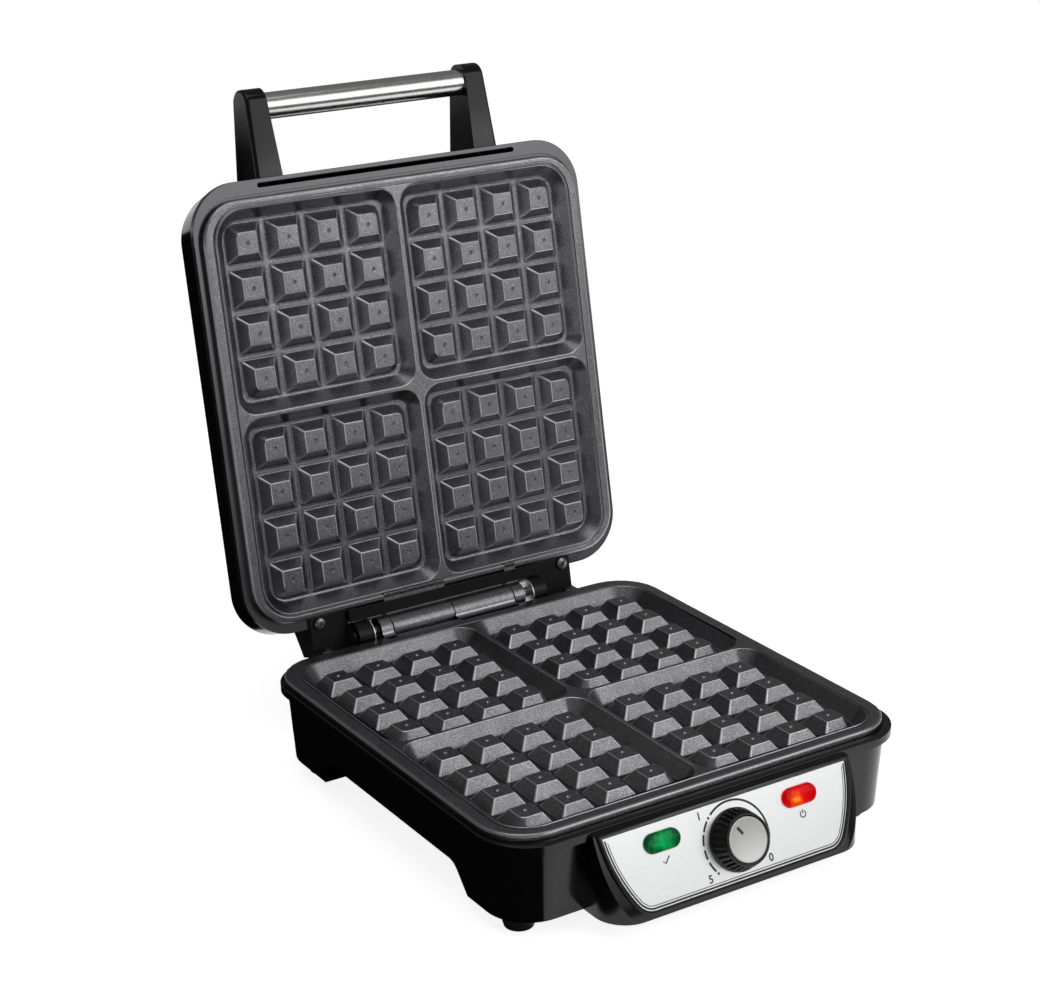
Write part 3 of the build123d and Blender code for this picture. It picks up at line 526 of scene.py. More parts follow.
def seat(origin, across, out):
    """A placing matrix whose X runs across and whose Z is out of the face."""
    across, out = Vector(across), Vector(out)
    axes = Matrix((across, out.cross(across), out)).transposed()
    return Matrix.Translation(origin) @ axes.to_4x4()


lid_out = Vector((0, -cos(open_lean), sin(open_lean)))
lid_up = Vector((0, sin(open_lean), cos(open_lean)))
lower_seat = seat((0, hinge_point.y - hinge_reach, peg_top_level), (-1, 0, 0), (0, 0, 1))
lid_seat = seat(hinge_point + lid_up * hinge_reach - lid_out * lid_clearance, (1, 0, 0), lid_out)
panel_out = Vector((0, -cos(panel_tilt), sin(panel_tilt)))
panel_front = lower_seat.translation.y - panel_reach
panel_seat = seat((0, panel_front, panel_top_level), (1, 0, 0), panel_out)
print("lid seat", [round(c, 4) for c in lid_seat.translation])

# %% [markdown]
# ## Rounded copies of CAD pieces
# A CAD solid has knife edges, and a real moulding or casting never has: its rounded edges catch
# the light and draw the piece. The shapes could be modelled again with round edges, but a copy of
# the CAD mesh is always the right size. The CAD mesh itself is left alone. The copy is merged
# into one skin, flat triangles are dissolved into whole faces, and a Bevel modifier rounds every
# edge that turns by more than the limit. The copy rides on the same body and stands for the CAD
# node.


# %% Rounded copies
def link(name, mesh, material):
    """A new object at the world's origin, with its place in its mesh."""
    piece = bpy.data.objects.new(name, mesh)
    bpy.context.scene.collection.objects.link(piece)
    mesh.materials.clear()
    mesh.materials.append(material)
    return piece


def smooth(piece, sharp_angle=32):
    """Smooth shading that breaks only at edges sharper than the angle."""
    piece.data.shade_smooth()
    piece.data.set_sharp_from_angle(angle=radians(sharp_angle))


def soften_edges(piece, width, angle, harden=False):
    """Rounds, with a Bevel modifier, every edge that turns by more than the angle in degrees."""
    bevel = piece.modifiers.new("soft_edges", "BEVEL")
    bevel.width = width
    bevel.segments = 2
    bevel.limit_method = "ANGLE"
    bevel.angle_limit = radians(angle)
    bevel.harden_normals = harden


same_point = 0.002 * MM
same_plane = radians(0.3)


def rounded_copy(node, material, width, sharp_angle=28):
    """A copy of a CAD node whose sharp edges are rounded by width metres."""
    body = next(b for b, e in frame["bodies"].items() if frame["nodes"][node].parent is e)
    mesh = frame["nodes"][node].data.copy()
    work = bmesh.new()
    work.from_mesh(mesh)
    bmesh.ops.remove_doubles(work, verts=work.verts, dist=same_point)
    bmesh.ops.dissolve_limit(
        work,
        angle_limit=same_plane,
        verts=work.verts,
        edges=work.edges,
        use_dissolve_boundaries=False,
    )
    work.to_mesh(mesh)
    work.free()
    piece = link(f"{node}_dressed", mesh, material)
    for name in [a.name for a in mesh.attributes if a.name == "custom_normal"]:
        mesh.attributes.remove(mesh.attributes[name])
    smooth(piece)
    if width:
        soften_edges(piece, width, sharp_angle, harden=True)
    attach(piece, body)
    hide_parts(node)
    return piece


print("rounding helpers ready")

# %% [markdown]
# ## Pieces with rounded edges
# This table names what the copy stands for, its finish and the radius of its edges. A glossy
# moulding has the widest radius, thin sheet a small one. The drawn handle bar is round already,
# so it keeps its mesh and only gets its finish. One table and one loop read more easily than
# fourteen blocks, and a radius is changed in one place.

# %% Pieces with rounded edges
dressed = {
    "base_housing": (gloss_black, 0.8 * MM),
    "lid_shell": (gloss_black, 0.6 * MM),
    "lid_frame": (flange_black, 0.5 * MM),
    "handle_arm_left": (handle_black, 0.7 * MM),
    "handle_arm_right": (handle_black, 0.7 * MM),
    "base_hinge_bracket_left": (satin_black, 0.3 * MM),
    "base_hinge_bracket_right": (satin_black, 0.3 * MM),
    "lid_hinge_bracket_left": (satin_black, 0.3 * MM),
    "lid_hinge_bracket_right": (satin_black, 0.3 * MM),
    "base_bottom_cover": (satin_black, 0.2 * MM),
    "rubber_feet": (foot_rubber, 0.5 * MM),
    "handle_bar": (brushed_bar, 0.0),
    "cord_bush": (satin_black, 0.3 * MM),
    "pin_washers": (plated_steel, 0.2 * MM),
}
for node, (material, width) in dressed.items():
    piece = rounded_copy(node, material, width)
    print(piece.name, "polygons", len(piece.data.polygons))

# %% [markdown]
# ## Rings and rounded profiles
# Castings and mouldings are mostly one profile swept round a rounded rectangle. A curve with a
# bevel could sweep it, but every corner would then have the same steps and the profile could not
# change on its way. Two helpers say it directly: `filleted` rounds the corners of a flat profile,
# and `loft` skins a stack of rings that all have the same number of points. Every large piece
# here that is not a copy of a CAD solid is made of them, with clean quads and real radii.


# %% Rings and rounded profiles
def filleted(points, radii, steps=3):
    """A profile through (out, up) points, with an arc of each given radius at each inner point."""
    points = [Vector(p) for p in points]
    outline = [points[0]]
    for before, corner, after, radius in zip(points, points[1:], points[2:], radii):
        to_before, to_after = (before - corner).normalized(), (after - corner).normalized()
        half = to_before.angle(to_after) / 2
        if radius == 0:
            outline.append(corner)
            continue
        centre = corner + (to_before + to_after).normalized() * radius / sin(half)
        start = corner + to_before * radius / tan(half) - centre
        end = corner + to_after * radius / tan(half) - centre
        sweep = start.angle_signed(end)
        for k in range(steps + 1):
            outline.append(centre + Matrix.Rotation(-sweep * k / steps, 2) @ start)
    return outline + [points[-1]]


quarters = ((1, 1), (-1, 1), (-1, -1), (1, -1))


def rounded_ring(half_x, front, rear, radii, level, steps=6):
    """One ring of points round a rectangle with its own radius at each corner, anticlockwise."""
    ring = []
    reaches = (front, front, rear, rear)
    for quarter, ((sx, sy), reach, radius) in enumerate(zip(quarters, reaches, radii)):
        for k in range(steps + 1):
            angle = (quarter + k / steps) * pi / 2
            x = sx * (half_x - radius) + radius * cos(angle)
            y = sy * (reach - radius) + radius * sin(angle)
            ring.append((x, y, level))
    return ring


def even_ring(half, radius, level):
    """A rounded square with the same radius all round."""
    return rounded_ring(half, half, half, [radius] * 4, level)


def loft(work, rings, closed_start=False, closed_end=False):
    """Quads between a stack of rings; returns the rows of vertices."""
    rows = [[work.verts.new(p) for p in ring] for ring in rings]
    for lower, upper in zip(rows, rows[1:]):
        for k in range(len(lower)):
            n = (k + 1) % len(lower)
            work.faces.new((lower[k], lower[n], upper[n], upper[k]))
    if closed_start:
        work.faces.new(reversed(rows[0]))
    if closed_end:
        work.faces.new(rows[-1])
    return rows


def moved(ring, x, y):
    """The ring, shifted in its own plane."""
    return [(px + x, py + y, pz) for px, py, pz in ring]


print("a ring has", len(even_ring(1.0, 0.2, 0.0)), "points")

# %% [markdown]
# ## Flats and finished meshes
# Some flats have holes or an outline that is not a strip, such as the land between four pans. A
# grid fill wants four matching sides and an n-gon must not have a hole, so such a flat is filled
# with triangles between its closed rows. The other two helpers turn a work mesh into a real one,
# moved to its seat, and turn its faces outwards where the building order does not already do so.


# %% Flats and finished meshes
def fill_between(work, rows):
    """Fills the flat between closed rows of vertices; the first row is its outer edge."""
    pairs = [(row[k - 1], row[k]) for row in rows for k in range(len(row))]
    edges = [work.edges.get(pair) or work.edges.new(pair) for pair in pairs]
    bmesh.ops.triangle_fill(work, edges=edges, use_beauty=True, use_dissolve=False)


def plain_mesh(work, name, placing=None):
    """The mesh of a work mesh, moved to its seat."""
    mesh = bpy.data.meshes.new(name)
    work.to_mesh(mesh)
    work.free()
    if placing:
        mesh.transform(placing)
        mesh.update()
    return mesh


def outward_mesh(work, name, placing, weld=None):
    """The same, with doubles merged if asked and all faces turned outwards."""
    if weld:
        bmesh.ops.remove_doubles(work, verts=work.verts, dist=weld)
    bmesh.ops.recalc_face_normals(work, faces=work.faces)
    return plain_mesh(work, name, placing)


print("mesh helpers ready")

# %% [markdown]
# ## Waffle plates: the sizes
# A waffle plate is a die-casting. Its face is four square pans; each pan has sixteen pegs that
# press the pockets into the waffle. Nothing on it is sharp, because batter would stick and the
# metal has to leave its mould, so walls lean and every edge has a radius. The sizes could stand
# in the code where they are used, but the casting, the pegs and the worn edges share them, so
# they are named first. All heights are measured from the tips of the pegs.

# %% Sizes of a waffle plate
pan_pitch = 114.5 * MM
pan_mouth = 56.25 * MM
wall_run = 6.0 * MM
peg_height = 6.5 * MM
rim_height = 1.5 * MM
land_height = 1.0 * MM
edge_height = 4.7 * MM
groove_width = 0.8 * MM
groove_depth = 1.2 * MM
rim_band = 1.2 * MM
outer_corner = 17.0 * MM
inner_corner = 11.0 * MM
casting_depth = 10.0 * MM
casting_half = 117.0 * MM
casting_corner = 20.5 * MM
peg_pitch = 25.0 * MM
pegs_per_side = 4
peg_foot_half = 10.75 * MM
peg_tip_half = 6.0 * MM
pan_half = pan_pitch / 2 + pan_mouth
print("one waffle is", round(2 * pan_mouth / MM), "mm square")

# %% [markdown]
# ## The peg
# A peg is a square frustum whose corners are tight at the tip and softer at the foot, with a
# small dimple in its tip: the mark of the pin that pushed the casting out of its mould. It could
# be a cube with a bevel, but a stack of rings lets the corner radius change on the way up. The
# four pegs in the corners of a pan follow the pan's round corner, so there is a second shape with
# one wide corner.


# %% Rings of a peg
foot_run, tip_run = 1.2 * MM, 2.0 * MM
foot_round, tip_round = 1.0 * MM, 0.9 * MM
sharpest_corner = 0.15 * MM
dimple_radius, dimple_depth = 1.1 * MM, 1.1 * MM
dimple_steps = ((1.15, 0), (0.9, 0.35), (0.45, 1))


def peg_rings(foot_radii, tip_radii, steps=2):
    """Rings from the pan floor up the wall, over the tip and down into the dimple."""
    lean = peg_foot_half - peg_tip_half
    wall = filleted(
        [
            (peg_foot_half + foot_run, -peg_height),
            (peg_foot_half, -peg_height),
            (peg_tip_half, 0),
            (peg_tip_half - tip_run, 0),
        ],
        [foot_round, tip_round],
    )
    rings = []
    for half, level in wall:
        share = min(max((level + peg_height) / peg_height, 0), 1)
        inset = half - (peg_foot_half - lean * share)
        radii = [
            max(foot + (tip - foot) * share + inset, sharpest_corner)
            for foot, tip in zip(foot_radii, tip_radii)
        ]
        rings.append(rounded_ring(half, half, half, radii, level, steps))
    for share, depth in dimple_steps:
        radius = dimple_radius * share
        ring = rounded_ring(radius, radius, radius, [radius] * 4, -depth * dimple_depth, steps)
        rings.append(ring)
    return rings


tight_foot, tight_tip = 1.1 * MM, 0.6 * MM
wide_foot, wide_tip = 6.0 * MM, 2.6 * MM
print("rings of a peg:", len(peg_rings([tight_foot] * 4, [tight_tip] * 4)))

# %% [markdown]
# ## Two patterns
# The same two shapes stand on both plates, 128 times in all, so each is modelled once as a
# pattern that a node tree repeats. A pattern is an object only for as long as the tree needs it;
# it is deleted afterwards, and so the scene holds no piece that the real plate does not have. The
# foot of a peg stays open, because it stands on the floor of the pan.


# %% Two peg patterns
def pattern_from(work, name):
    """A mesh object that other objects repeat; it is deleted after use."""
    pattern = bpy.data.objects.new(name, plain_mesh(work, name))
    bpy.context.scene.collection.objects.link(pattern)
    return pattern


def peg_object(name, foot_radii, tip_radii):
    """One peg as a pattern for the Geometry Nodes to repeat."""
    work = bmesh.new()
    loft(work, peg_rings(foot_radii, tip_radii), closed_end=True)
    pattern = pattern_from(work, name)
    pattern.data.shade_smooth()
    print(name, "faces", len(pattern.data.polygons))
    return pattern


plain_peg = peg_object("plain_peg", [tight_foot] * 4, [tight_tip] * 4)
corner_peg = peg_object(
    "corner_peg", [wide_foot] + [tight_foot] * 3, [wide_tip] + [tight_tip] * 3
)

# %% [markdown]
# ## Geometry Nodes: pegs on a grid of grids
# The pegs follow a rule, so a node tree lays them out; Array modifiers could as well, but they
# cannot put another shape in the corners. One mesh grid has a point for each peg of a pan and a
# second grid a point for each pan. The peg field is placed on the pan points, so 4 x 16 pegs come
# from two grids. Pegs at the corners of the field get the corner shape, turned so that the wide
# corner looks outwards: their angle is the angle of the point itself, less 45 degrees.


# %% Node tree helpers
def new_geometry_tree(name, inputs):
    """A Geometry Nodes tree with named inputs; returns the tree, its inputs and its output."""
    tree = bpy.data.node_groups.new(name, "GeometryNodeTree")
    tree.interface.new_socket("Geometry", in_out="INPUT", socket_type="NodeSocketGeometry")
    for socket, kind in inputs.items():
        tree.interface.new_socket(socket, in_out="INPUT", socket_type=f"NodeSocket{kind}")
    tree.interface.new_socket("Geometry", in_out="OUTPUT", socket_type="NodeSocketGeometry")
    source = tree.nodes.new("NodeGroupInput")
    sink = tree.nodes.new("NodeGroupOutput")
    return tree, source.outputs, sink.inputs[0]


def mesh_from_tree(name, tree, values, points=()):
    """Runs a tree on a mesh of points and returns the result as one plain mesh."""
    seed_mesh = bpy.data.meshes.new(name)
    seed_mesh.from_pydata(points, [], [])
    carrier = bpy.data.objects.new(name, seed_mesh)
    bpy.context.scene.collection.objects.link(carrier)
    modifier = carrier.modifiers.new("rule", "NODES")
    modifier.node_group = tree
    for item in tree.interface.items_tree:
        if item.in_out == "INPUT" and item.name in values:
            modifier[item.identifier] = values[item.name]
    evaluated = carrier.evaluated_get(bpy.context.evaluated_depsgraph_get())
    mesh = bpy.data.meshes.new_from_object(evaluated)
    bpy.data.objects.remove(carrier)
    return mesh


print("tree helpers ready")

# %% [markdown]
# ## Tree: the field of one pan
# The tree gets the two shapes, the pitch and the number of pegs as inputs, so the plate's sizes
# stay outside it. A point belongs to a corner when it is farther out than nearly half the span in
# both directions. The points could be told apart by their index too, but that would break as soon
# as the number of pegs changed.

# %% Peg grid tree, one pan
corner_share = 0.49
peg_tree, given, result = new_geometry_tree(
    "peg_grid",
    {
        "Peg": "Object",
        "Corner Peg": "Object",
        "Peg Pitch": "Float",
        "Pegs per Side": "Int",
        "Pan Pitch": "Float",
        "Coating": "Material",
    },
)
gaps = add_node(
    peg_tree, "ShaderNodeMath", {0: given["Pegs per Side"], 1: 1.0}, operation="SUBTRACT"
)
span = add_node(
    peg_tree, "ShaderNodeMath", {0: gaps.outputs[0], 1: given["Peg Pitch"]}, operation="MULTIPLY"
)
field = add_node(
    peg_tree,
    "GeometryNodeMeshGrid",
    {
        "Size X": span.outputs[0],
        "Size Y": span.outputs[0],
        "Vertices X": given["Pegs per Side"],
        "Vertices Y": given["Pegs per Side"],
    },
)
spot = add_node(peg_tree, "GeometryNodeInputPosition")
axes = add_node(peg_tree, "ShaderNodeSeparateXYZ", {"Vector": spot.outputs[0]})
edge = add_node(
    peg_tree, "ShaderNodeMath", {0: span.outputs[0], 1: corner_share}, operation="MULTIPLY"
)
beyond = []
for axis in "XY":
    size = add_node(peg_tree, "ShaderNodeMath", {0: axes.outputs[axis]}, operation="ABSOLUTE")
    compared = {0: size.outputs[0], 1: edge.outputs[0]}
    far = add_node(peg_tree, "ShaderNodeMath", compared, operation="GREATER_THAN")
    beyond.append(far.outputs[0])
at_corner = add_node(
    peg_tree, "ShaderNodeMath", {0: beyond[0], 1: beyond[1]}, operation="MULTIPLY"
)
elsewhere = add_node(
    peg_tree, "ShaderNodeMath", {0: 1.0, 1: at_corner.outputs[0]}, operation="SUBTRACT"
)
bearing = add_node(
    peg_tree, "ShaderNodeMath", {0: axes.outputs["Y"], 1: axes.outputs["X"]}, operation="ARCTAN2"
)
turn = add_node(
    peg_tree, "ShaderNodeMath", {0: bearing.outputs[0], 1: pi / 4}, operation="SUBTRACT"
)
spin = add_node(peg_tree, "ShaderNodeCombineXYZ", {"Z": turn.outputs[0]})
peg_fields = []
for socket, chosen, rotation in (("Peg", elsewhere, None), ("Corner Peg", at_corner, spin)):
    shape = add_node(
        peg_tree, "GeometryNodeObjectInfo", {"Object": given[socket], "As Instance": True}
    )
    placed = add_node(
        peg_tree,
        "GeometryNodeInstanceOnPoints",
        {
            "Points": field.outputs["Mesh"],
            "Selection": chosen.outputs[0],
            "Instance": shape.outputs["Geometry"],
        },
    )
    if rotation:
        peg_tree.links.new(rotation.outputs[0], placed.inputs["Rotation"])
    peg_fields.append(placed)
one_pan = add_node(peg_tree, "GeometryNodeJoinGeometry")
for placed in peg_fields:
    peg_tree.links.new(placed.outputs["Instances"], one_pan.inputs[0])
print("nodes for one pan:", len(peg_tree.nodes))

# %% [markdown]
# ## Tree: four pans, and the pegs themselves
# The finished field is itself an instance, placed on the points of the grid of pans. At the end
# the instances are made real, because the plate joins the pegs with the casting into one skin.
# Keeping them as instances would save memory, but 64 small pegs need little, and only a real mesh
# can carry the painted highlight of its edges.

# %% Peg grid tree, four pans
pans = add_node(
    peg_tree,
    "GeometryNodeMeshGrid",
    {"Size X": given["Pan Pitch"], "Size Y": given["Pan Pitch"], "Vertices X": 2, "Vertices Y": 2},
)
all_pans = add_node(
    peg_tree,
    "GeometryNodeInstanceOnPoints",
    {"Points": pans.outputs["Mesh"], "Instance": one_pan.outputs[0]},
)
real = add_node(peg_tree, "GeometryNodeRealizeInstances", {"Geometry": all_pans.outputs[0]})
coated = add_node(
    peg_tree,
    "GeometryNodeSetMaterial",
    {"Geometry": real.outputs[0], "Material": given["Coating"]},
)
peg_tree.links.new(coated.outputs[0], result)
pegs = mesh_from_tree(
    "pegs",
    peg_tree,
    {
        "Peg": plain_peg,
        "Corner Peg": corner_peg,
        "Peg Pitch": peg_pitch,
        "Pegs per Side": pegs_per_side,
        "Pan Pitch": pan_pitch,
        "Coating": non_stick,
    },
)
for pattern in (plain_peg, corner_peg):
    bpy.data.objects.remove(pattern)
print("peg mesh faces:", len(pegs.polygons))

# %% [markdown]
# ## The casting round the pegs
# The rest of the plate is one closed skin: from the hidden underside, round the outer edge, over
# the land, through the thin drip groove that catches batter, over the rim and down into the four
# pans. Cutting pans out of a block with Booleans would also give the shape, but with long thin
# faces and no radii. The flat between the pans is the only area that is not a strip, so it is
# filled between its five edges.


# %% Casting
edge_run, edge_round = 4.0 * MM, 1.5 * MM
groove_lip, rim_run = 0.7 * MM, 1.1 * MM
groove_rounds = [0.4 * MM, 0.2 * MM, 0.2 * MM, 0.7 * MM]
mouth_run, floor_run = 0.75 * MM, 3.0 * MM
mouth_round, floor_round = 0.8 * MM, 2.0 * MM


def casting(half_x, front, rear, corner):
    """The plate without its pegs and hinge barrel, as an open work mesh in its own seat."""
    work = bmesh.new()
    low = land_height - edge_height
    groove_half = pan_half + rim_band
    groove_corner = outer_corner + rim_band
    edge = filleted([(0, low), (0, land_height), (-edge_run, land_height)], [edge_round])
    rings = [even_ring(casting_half, casting_corner, level) for level in (-casting_depth, low)]
    for d, level in edge[:-1]:
        rings.append(rounded_ring(half_x + d, front + d, rear + d, [corner + d] * 4, level))
    channel = filleted(
        [
            (groove_width + groove_lip, land_height),
            (groove_width, land_height),
            (groove_width, land_height - groove_depth),
            (0, land_height - groove_depth),
            (0, rim_height),
            (-rim_run, rim_height),
        ],
        groove_rounds,
    )
    rings += [even_ring(groove_half + d, groove_corner + d, level) for d, level in channel]
    rows = loft(work, rings, closed_start=True)
    wall = filleted(
        [
            (mouth_run, rim_height),
            (0, rim_height),
            (-wall_run, -peg_height),
            (-wall_run - floor_run, -peg_height),
        ],
        [mouth_round, floor_round],
    )
    mouths = []
    for x in (-1, 1):
        for y in (-1, 1):
            radii = [outer_corner if quarter == (x, y) else inner_corner for quarter in quarters]
            pan = []
            for d, level in wall:
                half = pan_mouth + d
                ring = rounded_ring(half, half, half, [r + d for r in radii], level)
                pan.append(moved(ring, x * pan_pitch / 2, y * pan_pitch / 2))
            mouths.append(loft(work, pan, closed_end=True)[0])
    fill_between(work, [rows[-1], *mouths])
    return work


print("pans reach", round(pan_half / MM, 1), "mm from the middle")

# %% [markdown]
# ## Hinge barrels
# Each plate is cast with half of the hinge barrel and, on the other side, a short lug. A web
# joins them to the plate. A cylinder and a box could be put together, but the corner between them
# would be sharp, and a casting has a hollow there. So the section is one outline: a circle that
# runs into the web through two small arcs. An arc that touches both a circle and a line has its
# centre at the sum of the radii from the one and at its own radius from the other, and that is
# all the code needs to know.


# %% Hinge barrels
barrel_radius, pin_bore, web_fillet = 7.5 * MM, 3.05 * MM, 2.0 * MM
web_bite = 4.0 * MM


def arc_points(centre, radius, start, end, steps):
    """Points of an arc, as (distance to the hinge side, height)."""
    angles = [start + (end - start) * k / steps for k in range(steps + 1)]
    return [(centre[0] + radius * cos(a), centre[1] + radius * sin(a)) for a in angles]


def barrel_section(axis_height, root):
    """Closed outline of web and barrel, as (distance to the hinge side, height) points."""
    ends = []
    for side, line in ((1, land_height), (-1, land_height - edge_height)):
        centre_height = line + side * web_fillet
        rise = centre_height - axis_height
        run = (max((barrel_radius + web_fillet) ** 2 - rise**2, 0)) ** 0.5
        ends.append(((hinge_reach - run, centre_height), atan2(rise, -run)))
    (top_centre, top_angle), (low_centre, low_angle) = ends
    section = [(root, land_height)]
    section += arc_points(top_centre, web_fillet, -pi / 2, top_angle - pi, 4)
    section += arc_points((hinge_reach, axis_height), barrel_radius, top_angle, low_angle, 28)
    section += arc_points(low_centre, web_fillet, low_angle + pi, pi / 2, 4)
    return section + [(root, land_height - edge_height)]


def barrel(work, start, end, axis_height, root, steps=24):
    """One length of barrel with its web and its bore for the pin, between two places."""
    section = barrel_section(axis_height, root)
    circle = arc_points((hinge_reach, axis_height), pin_bore, 0, 2 * pi, steps)[:-1]
    outside = loft(work, [[(x, -v, z) for v, z in section] for x in (start, end)])
    inside = loft(work, [[(x, -v, z) for v, z in circle] for x in (start, end)])
    for end_row, hole_row in zip(outside, inside):
        fill_between(work, [end_row, hole_row])


barrel_ends = ((-40.5 * MM, -0.3 * MM), (41.2 * MM, 48.5 * MM))
print("section points:", len(barrel_section(0.0, pan_half)))

# %% [markdown]
# ## Painted edge highlights
# The roundings that catch the lamps get a painted highlight, a paler colour: most on the corners
# of the pegs, less on the dimples and the outer rim, and none at the foot of a wall. The highlight
# could be painted by hand, but the roundings are already known as narrow leaning faces, so each
# face gets its share from its shape, its place and its height.

# %% Painted edge highlights
outer_highlight, dimple_highlight, peg_highlight = 0.35, 0.4, 1.0
highlight_above = 2.0 * MM - peg_height
flat_normal = 0.985
widest_rounding = 0.85 * MM


def edge_highlight_share(point):
    """How pale a rounding is painted as a highlight: most on the pegs, less everywhere else."""
    if max(abs(point.x), abs(point.y)) > pan_half - wall_run:
        return outer_highlight
    off_axis = max(abs((abs(c) - pan_pitch / 2) % peg_pitch - peg_pitch / 2) for c in point[:2])
    return dimple_highlight if off_axis < 1.5 * dimple_radius else peg_highlight


def paint_edge_highlights(work):
    """Marks the narrow leaning faces, which are the roundings, with their share of painted
    highlight.
    """
    layer = work.faces.layers.float.new("painted_edge_highlight")
    for face in work.faces:
        longest = max(edge.calc_length() for edge in face.edges)
        is_narrow = face.calc_area() < widest_rounding * longest
        leans = abs(face.normal.z) < flat_normal
        middle = face.calc_center_median()
        is_highlit = is_narrow and leans and middle.z > highlight_above
        face[layer] = edge_highlight_share(middle) if is_highlit else 0.0


# no painted highlight below this height
print("no rubbing under", round(highlight_above / MM, 1), "mm")

# %% [markdown]
# ## The two plates
# Both plates are the same casting in two sizes, so one function builds them. It joins the
# casting, the barrels and the pegs into one piece, because on the real object they are poured at
# once and no seam may show. A small Bevel rounds the sharp edges that are left, and weighted
# normals keep the flats between the roundings even.

# %% The two plates
seam_reach = 0.01 * MM


def waffle_plate(name, body, placing, half_x, front, rear, corner, axis_height, node):
    """Casting, pegs and barrels as one piece that stands for its CAD node."""
    work = casting(half_x, front, rear, corner)
    for start, end in barrel_ends:
        barrel(work, start, end, axis_height, rear - web_bite)
    bmesh.ops.recalc_face_normals(work, faces=work.faces)
    work.from_mesh(pegs)
    bmesh.ops.remove_doubles(work, verts=work.verts, dist=seam_reach)
    # the roundings get their share of painted highlight
    paint_edge_highlights(work)
    piece = link(name, plain_mesh(work, name, placing), non_stick)
    smooth(piece, 40)
    soften_edges(piece, 0.4 * MM, 50)
    weighted = piece.modifiers.new("flat_faces", "WEIGHTED_NORMAL")
    weighted.keep_sharp = True
    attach(piece, body)
    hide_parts(node)
    print(name, "faces", len(piece.data.polygons))


waffle_plate(
    "lower_plate",
    "base",
    lower_seat,
    half_x=123 * MM,
    front=120.9 * MM,
    rear=125 * MM,
    corner=26 * MM,
    axis_height=1.4 * MM,
    node="lower_waffle_plate",
)
waffle_plate(
    "upper_plate",
    "lid",
    lid_seat,
    half_x=121 * MM,
    front=118.8 * MM,
    rear=118.8 * MM,
    corner=22.5 * MM,
    axis_height=lid_clearance,
    node="upper_waffle_plate",
)

# %% [markdown]
# ## Screws
# The hinge is held by four pan-head screws and the floor cover by four more. A head is a turned
# dome, so its profile is spun round an axis; a Screw modifier does the same, but its poles have
# to be merged afterwards. A Geometry Nodes tree then stands the head on every point of a small
# mesh, so each group of screws is one call. The recesses are not lined up, as no one lines up
# screws when driving them; a seeded random turn sees to that.


# %% Turned parts
def turned(work, profile, steps=32):
    """Skin of a (radius, height) profile turned round Z; it starts and ends on the axis."""
    rows = []
    for radius, height in profile[1:-1]:
        turns = [2 * pi * k / steps for k in range(steps)]
        rows.append([work.verts.new((radius * cos(t), radius * sin(t), height)) for t in turns])
    for lower, upper in zip(rows, rows[1:]):
        for k in range(steps):
            n = (k + 1) % steps
            work.faces.new((lower[k], lower[n], upper[n], upper[k]))
    for row, (_, height), low in ((rows[0], profile[0], True), (rows[-1], profile[-1], False)):
        pole = work.verts.new((0, 0, height))
        for k in range(steps):
            n = (k + 1) % steps
            work.faces.new((row[n], row[k], pole) if low else (row[k], row[n], pole))


print("turning helper ready")

# %% [markdown]
# ## The screw head
# The cross recess is stamped into the head. The recess could be modelled face by face, but a
# Boolean says what the stamp does: a cross-shaped punch that narrows to its floor is taken from
# the dome. The exact solver is used, since a recess of this size would suffer from the small
# errors of the fast one. Punch and blank are deleted afterwards.


# %% Screw head
def cut(piece, punch, name):
    """The piece less the punch, as a new pattern; the two it is made from are deleted."""
    boolean = piece.modifiers.new("punch", "BOOLEAN")
    boolean.operation = "DIFFERENCE"
    boolean.solver = "EXACT"
    boolean.object = punch
    evaluated = piece.evaluated_get(bpy.context.evaluated_depsgraph_get())
    mesh = bpy.data.meshes.new_from_object(evaluated)
    for used in (piece, punch):
        bpy.data.objects.remove(used)
    result = bpy.data.objects.new(name, mesh)
    bpy.context.scene.collection.objects.link(result)
    return result


head_radius = 3.6 * MM
head_height = 2.0 * MM
work = bmesh.new()
turned(
    work,
    [
        (0, 0),
        (head_radius * 0.97, 0),
        (head_radius, 0.15 * MM),
        (head_radius, 0.9 * MM),
        (head_radius * 0.93, 1.35 * MM),
        (head_radius * 0.75, 1.72 * MM),
        (head_radius * 0.45, 1.93 * MM),
        (0, head_height),
    ],
    steps=24,
)
screw_blank = pattern_from(work, "screw_blank")
work = bmesh.new()
slot_half, slot_reach = 0.42 * MM, 2.0 * MM
slot_floor, slot_mouth = 0.8 * MM, 2.2 * MM
floor_share = 0.55
corners = ((slot_reach, -slot_half, 0), (slot_reach, slot_half, 0), (slot_half, slot_half, 0))
arm = [Vector(corner) for corner in corners]
cross = [Matrix.Rotation(quarter * pi / 2, 3, "Z") @ p for quarter in range(4) for p in arm]
punch_rings = [
    [p * share + Vector((0, 0, level)) for p in cross]
    for share, level in ((floor_share, slot_floor), (1.0, slot_mouth))
]
loft(work, punch_rings, closed_start=True, closed_end=True)
screw_head = cut(screw_blank, pattern_from(work, "cross_punch"), "screw_head")
print("screw head faces:", len(screw_head.data.polygons))

# %% [markdown]
# ## Tree: copies on points
# The points come in as the tree's own mesh, one vertex for each screw. A named rotation turns the
# heads to their seat and a random turn about their own axis follows, which has to come second,
# because it is measured in the turned frame of each head. Copies could be placed by hand, but
# then every move of a screw would be made by hand too.

